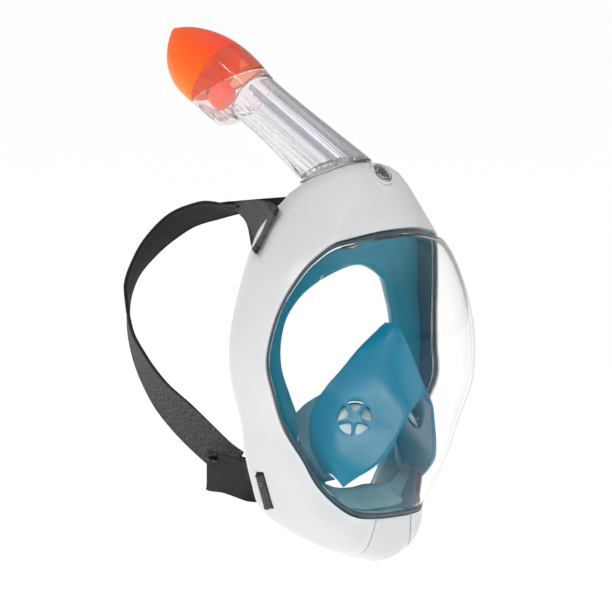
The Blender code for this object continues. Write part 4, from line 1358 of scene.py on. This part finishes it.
def buildStitches(name, centre, side, outward, width):
    points, faces = [], []
    up, across = outward * 0.18, side.cross(outward) * 0.2
    for n in range(strap["stitches"]):
        share = (n + 0.5) / strap["stitches"] - 0.5
        spot = (centre + side * width * strap["stitchSpan"] * share
                + outward * (strap["thickness"] / 2 * 0.9))
        first, along = len(points), side * 0.45
        for end in (-1, 1):
            points += [spot + along * end + across - up, spot + along * end - across - up,
                       spot + along * end * 0.8 - across + up, spot + along * end * 0.8 + across + up]
        faces += [tuple(first + i for i in face) for face in
                  ((0, 1, 2, 3), (7, 6, 5, 4), (0, 4, 5, 1), (1, 5, 6, 2), (2, 6, 7, 3), (3, 7, 4, 0))]
    thread = meshPiece(name, points, faces)
    selectOnly(thread)
    bpy.ops.object.mode_set(mode="EDIT")
    bpy.ops.mesh.select_all(action="SELECT")
    bpy.ops.mesh.normals_make_consistent(inside=False)
    bpy.ops.object.mode_set(mode="OBJECT")
    settle(thread, "mask", stitchGrey)


def buildWedges():
    for side, name in ((-1, "Right"), (1, "Left")):
        top, low = (spline([(-side * x, y, z) for x, y, z in strap[k]], 12) for k in ("wedgeTop", "wedgeLow"))
        centres, sides, normals, widths = [], [], [], []
        for a, b in zip(top, low):
            centres.append((a + b) / 2)
            sides.append((a - b).normalized())
            widths.append((a - b).length)
        for k in range(len(centres)):
            normals.append(runAt(centres, k).cross(sides[k]).normalized())
        nodes = ["strap_wedge_" + name.lower()]
        webbing("strapWedge" + name, centres, sides, normals, widths, side < 0, nodes)
        for row, shift in strap["hemRows"]:  # a doubled hem with two rows of stitches
            k = int(strap["hem"] * (len(centres) - 1)) - shift
            outward = normals[k] if normals[k].x * side > 0 or normals[k].z > 0.3 else -normals[k]
            buildStitches("hemStitch%s%s" % (row, name), centres[k], sides[k], outward, widths[k])


def buildSlotFolds():
    x, y, z = shell["slotPlace"]
    wide, deep = strap["foldSize"]
    half, steps = strap["foldHalfAngle"], strap["foldSteps"]
    for side, name in ((-1, "Right"), (1, "Left")):
        turn = slotTurn(side, 3)
        outward, long = turn @ Vector((side, 0, 0)), turn @ Vector((0, 0, 1))
        centre = Vector((side * x, y, z)) + outward * strap["foldOut"]
        centres, normals = [], []
        for k in range(steps + 1):
            a = math.radians(-half + 2 * half * k / steps)
            out, back = outward * math.cos(a), Vector((0, 1, 0)) * math.sin(a)
            centres.append(centre + (out * wide + back * deep))
            normals.append((out + back).normalized())
        sides, widths = [long] * len(centres), [strap["width"]] * len(centres)
        webbing("slotFold" + name, centres, sides, normals, widths, True, [])


def buildBandLoop():
    right, up, back = cameraAxes()
    centre, normals, centres = Vector(strap["loopCentre"]), [], []
    for k in range(strap["loopSteps"] + 1):
        a = math.tau * k / strap["loopSteps"]
        rise = strap["loopRise"] * math.sin(a) - strap["loopTilt"] * math.cos(a)
        centres.append(centre + right * strap["loopHalf"] * math.cos(a) + Vector((0, 0, rise)))
        normals.append((right * math.cos(a) * 0.25 + Vector((0, 0, math.sin(a)))).normalized())
    sides, widths = [back] * len(centres), [strap["loopWidth"]] * len(centres)
    webbing("bandLoop", centres, sides, normals, widths, True, [])


def buildPatch():
    piece = boxCutter(strap["patchSize"], strap["patchPlace"])
    piece.name = "crownPatch"
    editTopFaces(piece)
    bpy.ops.mesh.inset(thickness=strap["patchRim"] * mm)
    bpy.ops.mesh.extrude_region_move(TRANSFORM_OT_translate={"value": (0, 0, strap["patchDish"] * mm)})
    bpy.ops.object.mode_set(mode="OBJECT")
    softEdges(piece, 0.25, 3, 40)
    settle(piece, "mask", patchRubber, ["crown_patch"])


print("band %.0f mm, nape strap %.0f mm" % (buildBand(), buildNape()))
buildWedges()
buildSlotFolds()
buildBandLoop()
buildPatch()
print("straps made")

# small parts that keep their shape get their finish here
keptParts = {"button_spring": wireSteel, "upper_strap_pin_left": wireSteel, "upper_strap_pin_right": wireSteel,
             "tube_o_ring_1": sealTeal, "tube_o_ring_2": sealTeal, "float_seal": sealTeal,
             "chin_valve_disc": sealTeal, "chin_valve_seat": tubeClear, "float_seat": tubeClear,
             "float": floatOrange}
for nodeName, material in keptParts.items():
    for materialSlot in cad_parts[nodeName].material_slots:
        materialSlot.material = material
print("small parts finished")

# studio: white card floor and soft lights
studio = {"floorZ": -0.36, "floorSize": 60, "floorColour": (0.80, 0.80, 0.80), "floorGlow": 0.64,
          "world": 0.42, "aim": (0, -0.02, 0.03),
          "lights": [("key", (-1.6, -2.2, 2.4), 1.6, 1.6, 20), ("fill", (2.6, -2.0, 1.2), 2.0, 2.0, 6),
                     ("top", (0.2, 0.6, 2.8), 2.2, 2.2, 9), ("streak", (-2.40, -0.34, 1.64), 0.12, 1.9, 20)],
          "streakAim": (-0.016, -0.057, 0), "streakRun": (-0.47, -1.08, -0.75)}


def addStudio():
    bpy.ops.object.select_all(action="DESELECT")
    bpy.ops.mesh.primitive_plane_add(size=studio["floorSize"], location=(0, 0, studio["floorZ"]))
    floor = bpy.context.object
    floor.name = "studioFloor"
    floor.data.materials.append(floorMaterial(studio["floorColour"], studio["floorGlow"]))
    world = bpy.data.worlds.new("studioWorld")
    bpy.context.scene.world = world
    world.use_nodes = True
    background = world.node_tree.nodes["Background"]
    background.inputs["Color"].default_value = (1, 1, 1, 1)
    background.inputs["Strength"].default_value = studio["world"]
    for name, place, sizeX, sizeY, power in studio["lights"]:
        data = bpy.data.lights.new(name, "AREA")
        data.shape, data.size, data.size_y, data.energy = "RECTANGLE", sizeX, sizeY, power
        lamp = bpy.data.objects.new(name, data)
        bpy.context.scene.collection.objects.link(lamp)
        lamp.location = place
        lamp.rotation_euler = (Vector(place) - Vector(studio["aim"])).to_track_quat("Z", "Y").to_euler()
        if name == "streak":  # its long side follows the ridge of the nose cup
            facing = (Vector(place) - Vector(studio["streakAim"])).normalized()
            along = Vector(studio["streakRun"])
            along = (along - facing * along.dot(facing)).normalized()
            lamp.rotation_euler = Matrix((along.cross(facing), along, facing)).transposed().to_euler()


addStudio()
print("studio lit")
